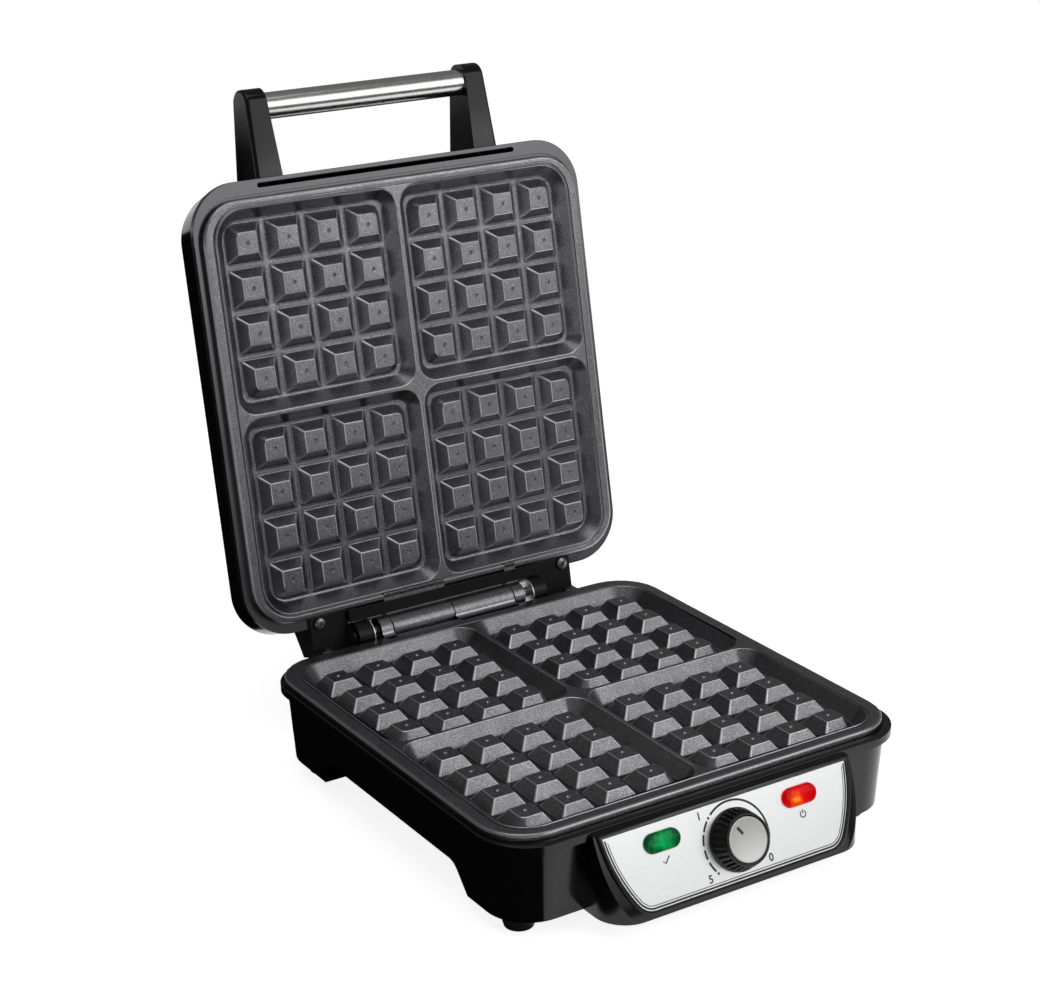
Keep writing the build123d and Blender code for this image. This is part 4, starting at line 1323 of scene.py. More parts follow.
# %% Copies on points tree
screw_tree, given, result = new_geometry_tree(
    "copies_on_points",
    {
        "Shape": "Object",
        "Facing": "Rotation",
        "Spin": "Float",
        "Seed": "Int",
        "Finish": "Material",
    },
)
own_turn = add_node(
    screw_tree, "FunctionNodeRandomValue", {"Seed": given["Seed"]}, data_type="FLOAT"
)
screw_tree.links.new(given["Spin"], own_turn.inputs["Max"])
spun = add_node(screw_tree, "ShaderNodeCombineXYZ", {"Z": own_turn.outputs["Value"]})
shape = add_node(
    screw_tree, "GeometryNodeObjectInfo", {"Object": given["Shape"], "As Instance": True}
)
placed = add_node(
    screw_tree,
    "GeometryNodeInstanceOnPoints",
    {
        "Points": given["Geometry"],
        "Instance": shape.outputs["Geometry"],
        "Rotation": given["Facing"],
    },
)
turned_heads = add_node(
    screw_tree,
    "GeometryNodeRotateInstances",
    {"Instances": placed.outputs[0], "Rotation": spun.outputs[0]},
)
real = add_node(screw_tree, "GeometryNodeRealizeInstances", {"Geometry": turned_heads.outputs[0]})
finished = add_node(
    screw_tree,
    "GeometryNodeSetMaterial",
    {"Geometry": real.outputs[0], "Material": given["Finish"]},
)
screw_tree.links.new(finished.outputs[0], result)
print("nodes in the screw tree:", len(screw_tree.nodes))

# %% [markdown]
# ## Screws in their places
# The heads take their places from the boxes of the CAD screws: the box ends where the outermost
# head ends, so the centre of a head lies one radius inside it. Fixed numbers would be shorter,
# but they would stay behind if the CAD moved a screw. Each call makes one piece, which stands for
# the plain screws of the CAD.

# %% Screws in their places
screw_seed = 7


def screws(name, node, body, facing, places):
    """One mesh with a head at each place, which stands for the CAD node of plain screws."""
    values = {"Shape": screw_head, "Facing": facing, "Spin": pi / 2, "Seed": screw_seed}
    values["Finish"] = screw_black
    mesh = mesh_from_tree(name, screw_tree, values, places)
    piece = link(name, mesh, screw_black)
    smooth(piece, 30)
    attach(piece, body)
    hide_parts(node)
    print(name, "heads", len(places), "faces", len(mesh.polygons))


screw_black = finish_from(
    "screw_black_zinc",
    brushing,
    {"Bright": grey(0.28), "Dark": grey(0.16), "Roughness": 0.3},
    bump_distance=0.004 * MM,
    vector=no_direction,
    Metallic=1.0,
)
low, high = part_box("base_hinge_screws")
base_head_y, base_head_z = low[1] + head_radius, high[2] - head_height
base_head_x = high[0] - head_radius
screws(
    "base_hinge_screw_heads",
    "base_hinge_screws",
    "base",
    (0, 0, 0),
    [(side * base_head_x, base_head_y, base_head_z) for side in (-1, 1)],
)
lid_screw_reach, lid_screw_depth = 123.4 * MM, 1.2 * MM
lid_head_place = lid_seat @ Vector((0, -lid_screw_reach, -lid_screw_depth))
low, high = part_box("lid_hinge_screws")
lid_head_x = high[0] - head_radius
screws(
    "lid_hinge_screw_heads",
    "lid_hinge_screws",
    "lid",
    (pi / 2 - open_lean, 0, 0),
    [(side * lid_head_x, lid_head_place.y, lid_head_place.z) for side in (-1, 1)],
)
low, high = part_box("bottom_cover_screws")
cover_head_z = low[2] + head_height
corners = [
    (x, y, cover_head_z)
    for x in (low[0] + head_radius, high[0] - head_radius)
    for y in (low[1] + head_radius, high[1] - head_radius)
]
screws("bottom_cover_screw_heads", "bottom_cover_screws", "base", (pi, 0, 0), corners)
bpy.data.objects.remove(screw_head)

# %% [markdown]
# ## Hinge leaf
# A black leaf on the lid covers the gap between the plate and the hinge barrels and keeps that
# band dark. It is partly painted shade: it darkens the band where the lid's rim throws shade. Its
# section is a flat leaf that curls round the barrels, so it clears them at every angle of the lid.
# It could be a bent plane with a Solidify modifier, but the gap to the barrels matters, so both of
# its sides are drawn: two arcs about the hinge line and four straight points, drawn out along the
# hinge.

# %% Hinge leaf
leaf_half = 64.3 * MM
leaf_start = 119.3 * MM
leaf_front = land_height + 0.9 * MM
leaf_thickness, leaf_lip = 2.4 * MM, 0.2 * MM
leaf_inner, leaf_outer = 8.9 * MM, 10.0 * MM
curl_start, curl_end = radians(198), radians(238)
hinge_line = (hinge_reach, lid_clearance)
inner_curl = arc_points(hinge_line, leaf_inner, curl_start, curl_end, 8)
outer_curl = arc_points(hinge_line, leaf_outer, curl_end, curl_start, 8)
leaf_end = inner_curl[0][0] - leaf_lip
section = [(leaf_start, leaf_front), (leaf_end, leaf_front)]
section += inner_curl + outer_curl
section += [(leaf_start, leaf_front - leaf_thickness)]
work = bmesh.new()
rings = [[(x, -v, z) for v, z in section] for x in (-leaf_half, leaf_half)]
loft(work, rings, closed_start=True, closed_end=True)
# the black leaf is partly painted shade for the band under the lid's rim
shade_leaf = link("hinge_guard", outward_mesh(work, "hinge_guard", lid_seat), satin_black)
smooth(shade_leaf)
soften_edges(shade_leaf, 0.3 * MM, 30)
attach(shade_leaf, "lid")
print("guard leaf from", round(leaf_start / MM, 1), "to", round(leaf_end / MM, 1), "mm")

# %% [markdown]
# ## Control panel
# The steel front plate is pressed: its sides bow, its low corners are round, and it has two slots
# for the lamps and a hole for the shaft. A curve traced by hand could give the outline, but
# nobody could say its radii. So it is an arc through three points and a fillet, mirrored. The
# bezel follows the same outline at a distance, and so do the printed lines later, so all of them
# agree.

# %% Panel outline
panel_top_half, panel_low_half = 74.8 * MM, 58.0 * MM
panel_top_drop, panel_low_drop = 0.4 * MM, 40.8 * MM
bowed_middle = (72.3 * MM, -15.0 * MM)
bowed_end = (62.5 * MM, -36.9 * MM)
panel_corner = 9 * MM


def arc_through(start, middle, end, steps):
    """Points along the circle through three points."""
    start, middle, end = (complex(*point) for point in (start, middle, end))
    ratio = (end - start) / (middle - start)
    centre = start - (start - middle) * (ratio - abs(ratio) ** 2) / 2j / ratio.imag
    sweep = cmath.phase((end - centre) / (start - centre))
    turns = [cmath.exp(1j * sweep * k / steps) for k in range(steps + 1)]
    points = [centre + (start - centre) * turn for turn in turns]
    return [(point.real, point.imag) for point in points]


def widened(outline, amount):
    """A closed clockwise outline, moved outwards along its own mitred normals."""
    moved_out = []
    for k, point in enumerate(outline):
        here = Vector(point)
        before, after = Vector(outline[k - 1]), Vector(outline[(k + 1) % len(outline)])
        sides = ((here - before).normalized(), (after - here).normalized())
        side_normals = [Vector((-side.y, side.x)) for side in sides]
        normal = (side_normals[0] + side_normals[1]).normalized()
        spread = normal.dot(side_normals[0])
        moved_out.append(tuple(here + normal * amount / spread))
    return moved_out


bowed_side = arc_through((panel_top_half, -panel_top_drop), bowed_middle, bowed_end, steps=10)
low_points = [bowed_side[-2], bowed_end, (panel_low_half, -panel_low_drop), (0, -panel_low_drop)]
low_corner = filleted(low_points, [panel_corner] * 2, steps=4)[1:-1]
right_half = bowed_side[:-1] + [tuple(point) for point in low_corner]
panel_outline = right_half + [(-x, y) for x, y in reversed(right_half)]
print("panel outline points", len(panel_outline))

# %% [markdown]
# ## Holes of the panel
# The lamps need slots and the knob's shaft a round hole. Booleans would cut them, but they leave
# long slivers on so thin a sheet. A Delaunay filling takes the outline and the holes together and
# covers only what lies between them. It is told to keep what is inside, and the triangles that
# lie wholly within one hole are then left out.


# %% Holes of the panel
nearly_zero = 1e-6


def at_level(outline, level):
    """A flat outline as a ring of points at one level."""
    return [(x, y, level) for x, y in outline]


def fill_with_holes(work, rows):
    """Triangles between a level outline, which comes first, and the holes in it."""
    corners, owners, edges = [], [], []
    for number, row in enumerate(rows):
        first = len(corners)
        edges += [(first + k, first + (k + 1) % len(row)) for k in range(len(row))]
        corners += row
        owners += [number] * len(row)
    flat = [corner.co.xy / MM for corner in corners]
    inside_only = 1
    filled = delaunay_2d_cdt(flat, edges, [], inside_only, nearly_zero)
    faces, sources = filled[2], filled[3]
    for face in faces:
        places = [sources[k][0] for k in face]
        in_hole = owners[places[0]] > 0 and len({owners[k] for k in places}) == 1
        if not in_hole:
            work.faces.new([corners[k] for k in places])


def slot_outline(middle_x, middle_y, steps=12):
    """A lamp slot: two half circles joined by straight sides."""
    straight = lens_hole_half - lens_hole_round
    outline = []
    for side, start in ((1, -pi / 2), (-1, pi / 2)):
        centre = (middle_x + side * straight, middle_y)
        outline += arc_points(centre, lens_hole_round, start, start + pi, steps)
    return outline


print("hole helpers ready")

# %% [markdown]
# ## Steel plate
# The plate is a sheet of 0.8 mm. Its walls are strips between two levels, its faces are the
# Delaunay filling on both. A Solidify modifier would thicken one face too, but here the walls
# exist first and the filling joins them, so the sheet is closed. The mesh is built flat, face up,
# and is then stood on the seat of the panel.

# %% Steel plate
panel_thickness = 0.8 * MM
lamp_reach, lamp_drop = 42.4 * MM, 9.8 * MM
lens_hole_half, lens_hole_round = 10.65 * MM, 5.15 * MM
shaft_hole, knob_drop = 3.15 * MM, 21.0 * MM
lens_slots = [slot_outline(side * lamp_reach, -lamp_drop) for side in (-1, 1)]
shaft_bore = arc_points((0, -knob_drop), shaft_hole, 0, 2 * pi, 32)[:-1]
work = bmesh.new()
walls = [
    loft(work, [at_level(outline, 0), at_level(outline, panel_thickness)])
    for outline in (panel_outline, *lens_slots, shaft_bore)
]
for level in (0, 1):
    fill_with_holes(work, [rows[level] for rows in walls])
steel_plate = link("steel_plate", outward_mesh(work, "steel_plate", panel_seat), brushed_panel)
smooth(steel_plate)
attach(steel_plate, "base")
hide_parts("control_panel_plate")
print("plate polygons:", len(steel_plate.data.polygons))

# %% [markdown]
# ## Bezel
# A black moulded frame holds the plate's edge. Its section is a small step with a bevel to the
# steel and a round outside, and it follows the panel's outline. Scaling the outline would make
# the frame wider at its ends than at its sides, so every point is moved outwards by the same
# distance instead, and the rings are skinned and closed into a loop.

# %% Bezel
bezel_width, bezel_height, bezel_gap = 2.2 * MM, 1.5 * MM, 0.1 * MM
inner_bevel, outer_round = 0.2 * MM, 0.6 * MM
round_middle = 0.3 * outer_round
bezel_profile = (
    (bezel_gap, 0),
    (bezel_gap, bezel_height - inner_bevel),
    (bezel_gap + inner_bevel, bezel_height),
    (bezel_width - outer_round, bezel_height),
    (bezel_width - round_middle, bezel_height - round_middle),
    (bezel_width, bezel_height - outer_round),
    (bezel_width, 0),
)
work = bmesh.new()
rings = [at_level(widened(panel_outline, reach), level) for reach, level in bezel_profile]
loft(work, rings + rings[:1])
bezel = link("bezel_ring", outward_mesh(work, "bezel_ring", panel_seat, weld=0.001 * MM), rim_black)
smooth(bezel, 40)
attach(bezel, "base")
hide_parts("control_bezel")
print("bezel polygons:", len(bezel.data.polygons))

# %% [markdown]
# ## Thermostat knob
# The knob is a black moulding with a skirt, thirty ribs for the fingers and a plain front ring,
# into which a silver cap is pressed. One turned profile with a displaced edge could imitate the
# ribs, but they would fade out softly, and real ribs end squarely. So they are one shape that a
# Geometry Nodes tree repeats round a circle. The cap is its own piece, because it is another
# material.

# %% Copies round a circle tree
ring_tree, given, result = new_geometry_tree(
    "copies_round_a_circle",
    {"Shape": "Object", "Count": "Int", "Radius": "Float", "Finish": "Material"},
)
circle = add_node(
    ring_tree, "GeometryNodeMeshCircle", {"Vertices": given["Count"], "Radius": given["Radius"]}
)
spot = add_node(ring_tree, "GeometryNodeInputPosition")
axes = add_node(ring_tree, "ShaderNodeSeparateXYZ", {"Vector": spot.outputs[0]})
bearing = add_node(
    ring_tree, "ShaderNodeMath", {0: axes.outputs["Y"], 1: axes.outputs["X"]}, operation="ARCTAN2"
)
spin = add_node(ring_tree, "ShaderNodeCombineXYZ", {"Z": bearing.outputs[0]})
shape = add_node(
    ring_tree, "GeometryNodeObjectInfo", {"Object": given["Shape"], "As Instance": True}
)
placed = add_node(
    ring_tree,
    "GeometryNodeInstanceOnPoints",
    {
        "Points": circle.outputs[0],
        "Instance": shape.outputs["Geometry"],
        "Rotation": spin.outputs[0],
    },
)
real = add_node(ring_tree, "GeometryNodeRealizeInstances", {"Geometry": placed.outputs[0]})
finished = add_node(
    ring_tree,
    "GeometryNodeSetMaterial",
    {"Geometry": real.outputs[0], "Material": given["Finish"]},
)
ring_tree.links.new(finished.outputs[0], result)
print("nodes in the ring tree:", len(ring_tree.nodes))

# %% [markdown]
# ## Ribs of the knob
# A rib is a thin rounded bar that leans inwards with the grip and tapers at both ends, so the
# mould can let go of it. An Array round an empty would repeat it as well; the tree has the
# advantage that the number of ribs and their circle are plain inputs. The rib itself is a pattern
# again and is deleted once the ring is made.

# %% Ribs of the knob
knob_seat = panel_seat @ Matrix.Translation((0, -knob_drop, 0))
knob_bottom = 1.1 * MM
knob_top = 11.0 * MM
skirt_radius = 16.0 * MM
grip_foot_radius = 14.7 * MM
grip_tip_radius = 12.7 * MM
cap_radius = 11.4 * MM
rib_count = 30
rib_start, rib_end = 2.7 * MM, 9.7 * MM
rib_half_depth, rib_half_width = 1.0 * MM, 0.8 * MM
rib_taper = 0.5 * MM
rib_rounding = 0.6
knob_black = finish_from(
    "knob_black",
    moulding,
    {"Base": grey(0.005), "Roughness": 0.22, "Peel Size": 1 * MM},
    bump_distance=0.004 * MM,
    Specular_IOR_Level=0.35,
)

rib_stations = (
    (0.5, rib_start),
    (1.0, rib_start + rib_taper),
    (0.9, rib_end - rib_taper),
    (0.4, rib_end),
)
rib_rings = []
for share, height in rib_stations:
    lean_in = (grip_foot_radius - grip_tip_radius) * (height - rib_start) / (rib_end - rib_start)
    half = rib_half_width * share
    radii = [half * rib_rounding] * 4
    ring = rounded_ring(rib_half_depth * share, half, half, radii, height, steps=2)
    rib_rings.append(moved(ring, -lean_in, 0))
work = bmesh.new()
loft(work, rib_rings, closed_start=True, closed_end=True)
rib = pattern_from(work, "knob_rib")
ribs = mesh_from_tree(
    "ribs",
    ring_tree,
    {"Shape": rib, "Count": rib_count, "Radius": grip_foot_radius, "Finish": knob_black},
)
bpy.data.objects.remove(rib)
print("rib faces:", len(ribs.polygons))

# %% [markdown]
# ## Body of the knob
# Skirt, grip and front ring are turned, so they are one profile spun round the knob's axis, and
# the ring of ribs is laid into the same mesh. A Boolean could weld the two, but that would cost
# many faces, and the seam is hidden where the ribs run into the grip.

# %% Body of the knob
work = bmesh.new()
turned(
    work,
    [
        (0, knob_bottom),
        (skirt_radius - 0.4 * MM, knob_bottom),
        (skirt_radius, knob_bottom + 0.4 * MM),
        (skirt_radius, knob_bottom + 0.9 * MM),
        (skirt_radius - 0.3 * MM, knob_bottom + 1.2 * MM),
        (grip_foot_radius, rib_start),
        (grip_tip_radius, rib_end),
        (grip_tip_radius + 0.5 * MM, rib_end + 0.1 * MM),
        (grip_tip_radius + 0.5 * MM, knob_top - 0.5 * MM),
        (grip_tip_radius + 0.1 * MM, knob_top - 0.1 * MM),
        (grip_tip_radius - 0.3 * MM, knob_top),
        (cap_radius + 0.35 * MM, knob_top - 0.1 * MM),
        (cap_radius + 0.1 * MM, knob_top - 0.7 * MM),
        (0, knob_top - 0.8 * MM),
    ],
    steps=96,
)
work.from_mesh(ribs)
knob = link("knob_grip", plain_mesh(work, "knob", knob_seat), knob_black)
smooth(knob, 45)
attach(knob, "knob")
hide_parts("thermostat_knob")
print("knob faces", len(knob.data.polygons))

# %% [markdown]
# ## Silver cap
# The cap is an aluminium disc with a turned edge that shines as a thin ring. The ring could be a
# texture, but a real step catches the lamps from every side, so the edge is in the profile.

# %% Silver cap
cap_silver = finish_from(
    "cap_silver",
    brushing,
    {"Bright": (0.6, 0.6, 0.59, 1), "Dark": (0.5, 0.5, 0.49, 1), "Roughness": 0.42},
    bump_distance=0.002 * MM,
    vector=(4000.0, 120.0, 120.0),
    Metallic=1.0,
)
work = bmesh.new()
turned(
    work,
    [
        (0, knob_top - 0.8 * MM),
        (cap_radius, knob_top - 0.8 * MM),
        (cap_radius, knob_top - 0.3 * MM),
        (cap_radius - 0.15 * MM, knob_top - 0.1 * MM),
        (cap_radius - 0.45 * MM, knob_top - 0.05 * MM),
        (cap_radius - 0.7 * MM, knob_top - 0.1 * MM),
        (0, knob_top - 0.1 * MM),
    ],
    steps=96,
)
cap = link("silver_cap", plain_mesh(work, "cap", knob_seat), cap_silver)
smooth(cap, 30)
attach(cap, "knob")
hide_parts("knob_cap")
print("cap faces", len(cap.data.polygons))

# %% [markdown]
# ## Printing
# Print is a film of ink a few hundredths of a millimetre thick. It could be an image on the
# metal, but then fine lines would blur up close. So it is a flat strip that lies a hair above the
# surface, high enough that the two never flicker. One helper draws a strip of even width along a
# path, one finds points round a centre, and one makes the piece. The first print is the pointer
# of the cap.

# %% Printing
print_black = finish_from(
    "print_black",
    moulding,
    {"Base": grey(0.01), "Roughness": 0.4, "Peel Size": 1 * MM},
    bump_distance=0.001 * MM,
)


def ribbon(work, points, width, level):
    """A flat printed line of one width through (x, y) points."""
    points = [Vector(p) for p in points]
    left, right = [], []
    for k, here in enumerate(points):
        before, after = points[max(k - 1, 0)], points[min(k + 1, len(points) - 1)]
        along = (after - before).normalized()
        side = Vector((-along.y, along.x)) * width / 2
        left.append(work.verts.new((*(here + side), level)))
        right.append(work.verts.new((*(here - side), level)))
    for k in range(len(points) - 1):
        work.faces.new((left[k], right[k], right[k + 1], left[k + 1]))


def polar(radius, degrees_round, centre=(0.0, 0.0)):
    """The point at a radius and an angle from a centre."""
    angle = radians(degrees_round)
    return (centre[0] + radius * cos(angle), centre[1] + radius * sin(angle))


def printed(name, work, placing, body):
    """Turns flat print into a piece that faces out of its seat."""
    for face in work.faces:
        face.normal_update()
        if face.normal.z < 0:
            face.normal_flip()
    piece = link(name, plain_mesh(work, name, placing), print_black)
    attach(piece, body)
    print(name, "faces", len(piece.data.polygons))


pointer_turn = 123
pointer_start, pointer_end, pointer_width = 4.2 * MM, 8.8 * MM, 1.5 * MM
pointer_level = knob_top - 0.06 * MM
work = bmesh.new()
dash = [polar(radius, pointer_turn) for radius in (pointer_start, pointer_end)]
ribbon(work, dash, pointer_width, pointer_level)
printed("pointer", work, knob_seat, "knob")

# %% [markdown]
# ## Print on the panel
# The panel is printed in black: two thin lines along its edge, a scale round the knob and a sign
# under each lamp. The scale could be drawn freely, but a scale is read against the pointer, so it
# is worked out from its radius and its angles: one long arc, then four dashes with a dot before
# the first and one after the last.

# %% Scale and border lines
print_level = 0.86 * MM
scale_radius, line_width = 19.7 * MM, 1.1 * MM
dot_half, dot_width = 0.6 * MM, 1.2 * MM
dial_centre = (0.0, -knob_drop)
long_arc, dashes = (127, -12), ((138, 154), (158, 174), (180, 194), (199, 216))
dot_turns = (133, 221)
border_lines = ((1.0 * MM, 0.9 * MM), (2.3 * MM, 0.4 * MM))


def scale_arc(work, start, end, steps):
    """A printed arc of the scale between two angles in degrees."""
    angles = [start + (end - start) * k / steps for k in range(steps + 1)]
    points = [polar(scale_radius, angle, dial_centre) for angle in angles]
    ribbon(work, points, line_width, print_level)


work = bmesh.new()
scale_arc(work, *long_arc, steps=40)
for start, end in dashes:
    scale_arc(work, start, end, steps=5)
for turn in dot_turns:
    dot = [polar(scale_radius + d, turn, dial_centre) for d in (-dot_half, dot_half)]
    ribbon(work, dot, dot_width, print_level)
for inset, width in border_lines:
    ribbon(work, widened(panel_outline, -inset), width, print_level)
print("printed faces so far:", len(work.faces))

# %% [markdown]
# ## Signs and numerals
# The signs are plain ones that any maker uses, a tick for ready and a standby sign for power, and
# the scale has plain numbers. The signs are strips like the scale. The numerals come from
# Blender's own font, because drawing them by hand would give worse curves; the text is turned
# into a mesh at once, so the piece no longer depends on a font.

# %% Signs and numerals
standby_radius, sign_width, tick_width = 1.7 * MM, 0.6 * MM, 0.75 * MM
standby_bar = (0.3 * MM, 2.3 * MM)
standby = (lamp_reach, -19.4 * MM)
tick = (-lamp_reach, -19.6 * MM)
tick_points = ((-1.9 * MM, 0), (-0.6 * MM, -1.4 * MM), (2.2 * MM, 1.9 * MM))
numeral_size, numeral_weight = 5.6 * MM, 0.12 * MM
numerals = {
    "0": (17.6 * MM, -34.9 * MM),
    "1": (-18.6 * MM, -4.4 * MM),
    "5": (-20.0 * MM, -35.6 * MM),
}
open_ring = [polar(standby_radius, 125 + 290 * k / 20, standby) for k in range(21)]
ribbon(work, open_ring, sign_width, print_level)
ribbon(work, [(standby[0], standby[1] + d) for d in standby_bar], sign_width, print_level)
ribbon(work, [(tick[0] + x, tick[1] + y) for x, y in tick_points], tick_width, print_level)
for numeral, place in numerals.items():
    curve = bpy.data.curves.new("numeral", "FONT")
    curve.body = numeral
    curve.size = numeral_size
    curve.offset = numeral_weight
    curve.align_x = "CENTER"
    curve.align_y = "CENTER"
    writer = bpy.data.objects.new("numeral", curve)
    bpy.context.scene.collection.objects.link(writer)
    evaluated = writer.evaluated_get(bpy.context.evaluated_depsgraph_get())
    flat = bpy.data.meshes.new_from_object(evaluated)
    flat.transform(Matrix.Translation((*place, print_level)))
    work.from_mesh(flat)
    bpy.data.objects.remove(writer)
printed("panel_print", work, panel_seat, "base")

# %% [markdown]
# ## Lamp lenses
# Each lens is a clear coloured cover over a small lamp. The green one is off, and the hollow of its
# holder lies behind it. Glass that light really passes through would need many more samples for
# so small a piece. So the colour is laid by the distance from the middle of the lens, which holds
# from every side: it darkens towards the rim, a painted shade for the hollow seen through the
# colour, and a slow ripple keeps the edge of that painted shade from looking drawn.


# %% Lens material
lens_shape = (0.55, 1.0, 1.0)
shade_start, shade_end = 6.6 * MM, 8.8 * MM


def blurred_distance(tree, distance, ripple, depth):
    """A distance with a ripple of that depth laid over it."""
    terms = {0: ripple, 1: depth, 2: distance}
    return add_node(tree, "ShaderNodeMath", terms, operation="MULTIPLY_ADD").outputs[0]


def lens_material(name, middle, shaded_rim_colour, core_colour):
    """Coloured plastic with a painted shade towards its rim; also returns the sockets that a glow
    needs.
    """
    material, tree, shader = new_material(name, Roughness=0.12, Specular_IOR_Level=0.1)
    place = place_socket(tree)
    centred = add_node(
        tree, "ShaderNodeVectorMath", {0: place, 1: tuple(middle)}, operation="SUBTRACT"
    ).outputs[0]
    ripple = add_node(
        tree, "ShaderNodeTexNoise", {"Vector": centred, "Scale": 260.0, "Detail": 2.0}
    ).outputs["Fac"]
    evened = add_node(
        tree, "ShaderNodeVectorMath", {0: centred, 1: lens_shape}, operation="MULTIPLY"
    )
    away = add_node(tree, "ShaderNodeVectorMath", {0: evened.outputs[0]}, operation="LENGTH")
    blurred = blurred_distance(tree, away.outputs["Value"], ripple, 4 * MM)
    share = add_node(
        tree, "ShaderNodeMapRange", {"Value": blurred, "From Min": shade_start, "From Max": shade_end}
    )
    colour = ramp(tree, share.outputs[0], [(0.0, core_colour), (1.0, shaded_rim_colour)])
    tree.links.new(colour, shader.inputs["Base Color"])
    return material, centred, ripple


def box_middle(node):
    """The middle of a CAD node's box."""
    low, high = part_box(node)
    return (Vector(low) + Vector(high)) / 2


# the first colour is the painted shade at the rim, the second the clear middle
green_lens = lens_material(
    "green_lens", box_middle("green_lamp_lens"), (0.0, 0.14, 0.03), (0.0, 0.8, 0.19)
)[0]
print("green lens nodes:", len(green_lens.node_tree.nodes))

# %% [markdown]
# ## The lamp that is on
# The red lens is lit: a lamp behind it glows orange, a little to the left of the middle. A real
# lamp inside would light the panel as well and take long to come clean, so the lens gives off its
# own light around a chosen spot, hottest in the middle. It is the same lens material with that
# glow added.

# %% The lamp that is on
glow_spot, glow_radius, glow_core = (-3.5 * MM, -4 * MM, 0.5 * MM), 5 * MM, 2.5 * MM
glow_colours = [(0.0, (0.55, 0.0, 0.0)), (0.5, (0.9, 0.08, 0.0)), (1.0, (1.0, 0.6, 0.03))]
glow_strength = 0.75

# the dark red is the painted shade at the rim, as on the green lens
red_lens, centred, ripple = lens_material(
    "red_lens", box_middle("red_lamp_lens"), (0.22, 0.0, 0.001), (0.75, 0.004, 0.008)
)
red_tree = red_lens.node_tree
near = add_node(red_tree, "ShaderNodeVectorMath", {0: centred, 1: glow_spot}, operation="DISTANCE")
blurred = blurred_distance(red_tree, near.outputs["Value"], ripple, 5 * MM)
heat = add_node(
    red_tree,
    "ShaderNodeMapRange",
    {"Value": blurred, "From Min": glow_radius + glow_core, "From Max": glow_core},
)
red_shader = red_tree.nodes["Principled BSDF"]
glow = ramp(red_tree, heat.outputs[0], glow_colours)
red_tree.links.new(glow, red_shader.inputs["Emission Color"])
red_shader.inputs["Emission Strength"].default_value = glow_strength
for node, material in (("green_lamp_lens", green_lens), ("red_lamp_lens", red_lens)):
    rounded_copy(node, material, 0.3 * MM)
print("lenses dressed")

# %% [markdown]
# ## What is inside and underneath
# The heaters, trays, terminals and the thermostat are hidden in a closed appliance, and the pin
# and its shaft show only a little. They could be modelled again with every detail, but their CAD
# shapes are right, so they stay and only get a finish: bright tray steel, heater tube blued by
# heat, glazed ceramic, glass and plated steel.

# %% Finishes of the CAD nodes that stay
tray_steel = finish_from(
    "tray_steel",
    brushing,
    {"Bright": grey(0.66), "Dark": grey(0.5), "Roughness": 0.3},
    bump_distance=0.004 * MM,
    vector=(60.0, 2500.0, 2500.0),
    Metallic=1.0,
)
heater_tube = finish_from(
    "heater_tube",
    brushing,
    {"Bright": (0.42, 0.36, 0.33, 1), "Dark": (0.2, 0.2, 0.26, 1), "Roughness": 0.4},
    bump_distance=0.004 * MM,
    vector=(70.0, 70.0, 70.0),
    Metallic=1.0,
)
glazed_ceramic = finish_from(
    "glazed_ceramic",
    moulding,
    {"Base": (0.8, 0.79, 0.74, 1), "Roughness": 0.2, "Peel Size": 1 * MM},
    bump_distance=0.004 * MM,
)
lamp_glass = finish_from(
    "lamp_glass",
    moulding,
    {"Base": (0.9, 0.62, 0.4, 1), "Roughness": 0.08, "Peel Size": 2 * MM},
    bump_distance=0.002 * MM,
    Transmission_Weight=0.7,
)
stays = {
    tray_steel: ("lower_reflector", "upper_reflector", "thermostat_body"),
    heater_tube: ("lower_heating_element", "upper_heating_element"),
    glazed_ceramic: ("terminal_block", "thermal_fuse"),
    lamp_glass: ("pilot_lamps",),
    plated_steel: (
        "lower_reflector_screws",
        "upper_reflector_screws",
        "handle_screws",
        "control_shaft",
        "hinge_pin",
    ),
    satin_black: ("lamp_holders",),
}
for material, nodes in stays.items():
    for node in nodes:
        slot_to_fill = frame["nodes"][node].material_slots[0]
        slot_to_fill.link = "OBJECT"
        slot_to_fill.material = material
print("finished in place:", sum(len(nodes) for nodes in stays.values()))

# %% [markdown]
# ## Floor
# The floor is a pale sweep of paper. A white floor would be simple, but it throws so much light
# up that black walls turn grey. Light Path tells rays apart: the colour is lifted to white only
# for rays that come from the eye, from a mirror or through glass. So the ground is white, the
# appliance gets no more light from it, and the soft shadow under the feet stays.

# %% Floor
floor_mesh = bpy.data.meshes.new("floor")
floor_half = 40.0
turns = ((-1, -1), (1, -1), (1, 1), (-1, 1))
floor_corners = [(x * floor_half, y * floor_half, 0) for x, y in turns]
floor_mesh.from_pydata(floor_corners, [], [(0, 1, 2, 3)])
floor_lift = 0.86
floor_material, floor_tree, floor_shader = new_material(
    "pale_floor", Base_Color=(0.8, 0.8, 0.8, 1), Roughness=0.7, Specular_IOR_Level=0.0
)
rays = add_node(floor_tree, "ShaderNodeLightPath")
eye_or_mirror = add_node(
    floor_tree,
    "ShaderNodeMath",
    {0: rays.outputs["Is Camera Ray"], 1: rays.outputs["Is Glossy Ray"]},
    operation="MAXIMUM",
)
looked_at = add_node(
    floor_tree,
    "ShaderNodeMath",
    {0: eye_or_mirror.outputs[0], 1: rays.outputs["Is Transmission Ray"]},
    operation="MAXIMUM",
)
lift = add_node(
    floor_tree, "ShaderNodeMath", {0: looked_at.outputs[0], 1: floor_lift}, operation="MULTIPLY"
)
floor_shader.inputs["Emission Color"].default_value = (1, 1, 1, 1)
floor_tree.links.new(lift.outputs[0], floor_shader.inputs["Emission Strength"])
floor = link("studio_floor", floor_mesh, floor_material)
print("floor lift", floor_lift)

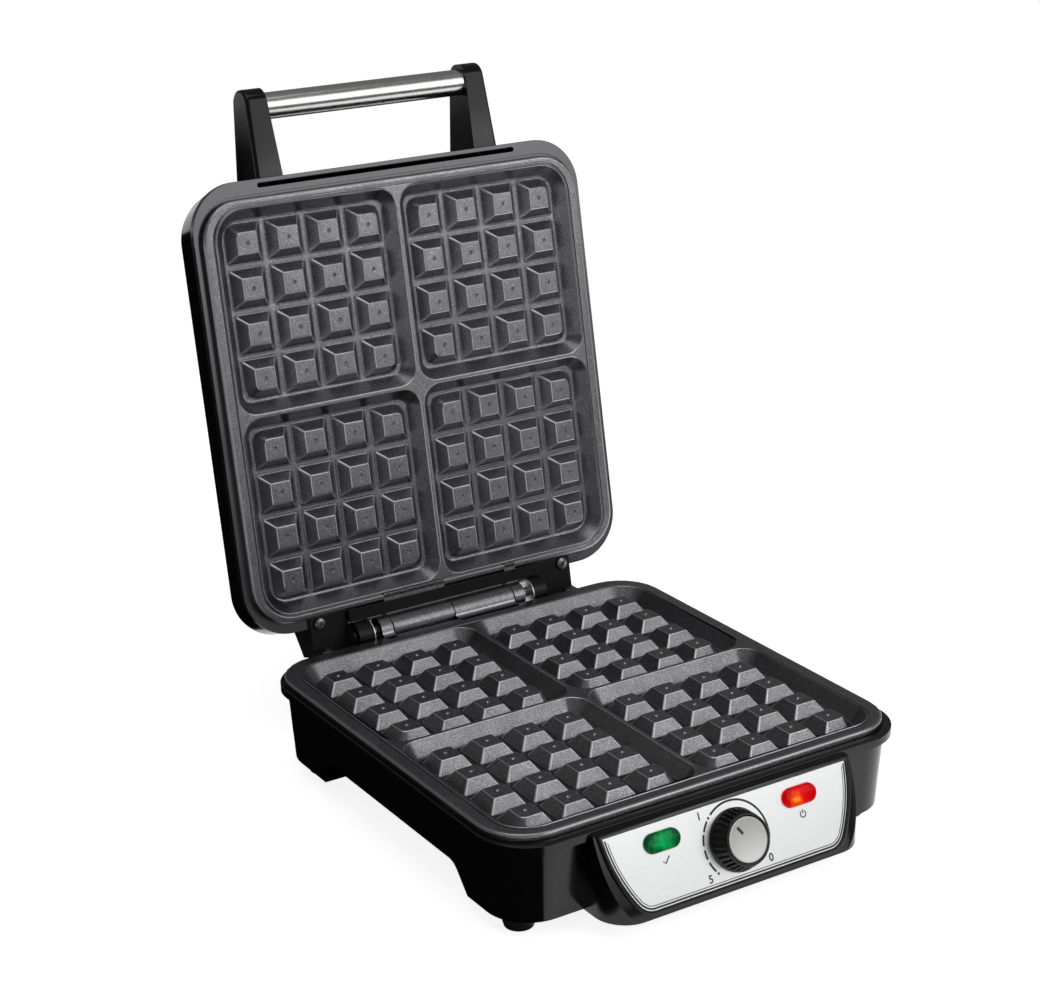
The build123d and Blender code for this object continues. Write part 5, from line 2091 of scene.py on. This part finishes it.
# %% [markdown]
# ## Black cards
# Glossy black walls and satin castings show whatever stands beside them, and beside a white floor
# they turn grey. Darker materials would not help, since it is the reflection that is pale.
# Studios lay black cards on the table, just out of view. One card lies on the left and darkens
# the side walls, one lies in front and gives the upright plate its fall from light to dark, and
# one behind keeps the rear walls black. Only mirror rays see them.

# %% Black cards
card_level = 0.4 * MM
card_material = new_material(
    "black_card", Base_Color=(0.01, 0.01, 0.01, 1), Roughness=0.9, Specular_IOR_Level=0.0
)[0]


def black_card(name, left, right, front, back):
    """A card on the floor, with its edges in metres from the middle of the floor."""
    mesh = bpy.data.meshes.new(name)
    corners = ((left, front), (right, front), (right, back), (left, back))
    mesh.from_pydata([(x, y, card_level) for x, y in corners], [], [(0, 1, 2, 3)])
    card = link(name, mesh, card_material)
    card.visible_camera = False
    card.visible_diffuse = False
    card.visible_shadow = False
    card.visible_transmission = False
    print(name, "covers", round((right - left) * (back - front), 2), "square metres")


black_card("left_card", -1.5, -0.1, -0.35, 2.6)
black_card("back_card", -0.1, 1.8, 0.3, 2.6)
black_card("front_card", 0.0, 2.6, -3.4, -0.45)

# %% [markdown]
# ## Studio light
# Satin metal shows the shape of its lamps, so each softbox stands where one set of faces mirrors
# it: a high one on the right for the fronts of the pegs, a low one for the upright plate and the
# panel, and a wide weak one overhead for everything else. One bright sky would be quicker to set,
# but it lights all faces alike and the pegs would look flat. What lies behind the appliance stays
# dark, and that keeps the tops and the left sides dark.

# %% World and softboxes
world = bpy.data.worlds.new("studio_world")
bpy.context.scene.world = world
world.use_nodes = True
world.node_tree.nodes["Background"].inputs["Color"].default_value = (1, 1, 1, 1)
world.node_tree.nodes["Background"].inputs["Strength"].default_value = 0.16
lamp_aim = Vector((0, 0, 0.12))


def softbox(name, direction, distance, size, radiance):
    """A rectangular lamp that shines at the middle of the object from a direction."""
    data = bpy.data.lights.new(name, "AREA")
    data.shape = "RECTANGLE"
    data.size, data.size_y = size
    data.energy = radiance * size[0] * size[1] * pi
    lamp = bpy.data.objects.new(name, data)
    lamp.location = lamp_aim + Vector(direction).normalized() * distance
    lamp.rotation_euler = (lamp_aim - lamp.location).to_track_quat("-Z", "Y").to_euler()
    lamp.visible_camera = False
    bpy.context.scene.collection.objects.link(lamp)


softbox("key_softbox", (0.504, -0.66, 0.54), 1.6, (1.0, 0.8), 1.6)
softbox("low_softbox", (0.504, -0.865, 0.27), 1.7, (1.0, 0.4), 2.0)
softbox("top_softbox", (-0.1, -0.1, 1.0), 1.5, (1.2, 1.0), 1.2)
print("lamps:", len(bpy.data.lights))
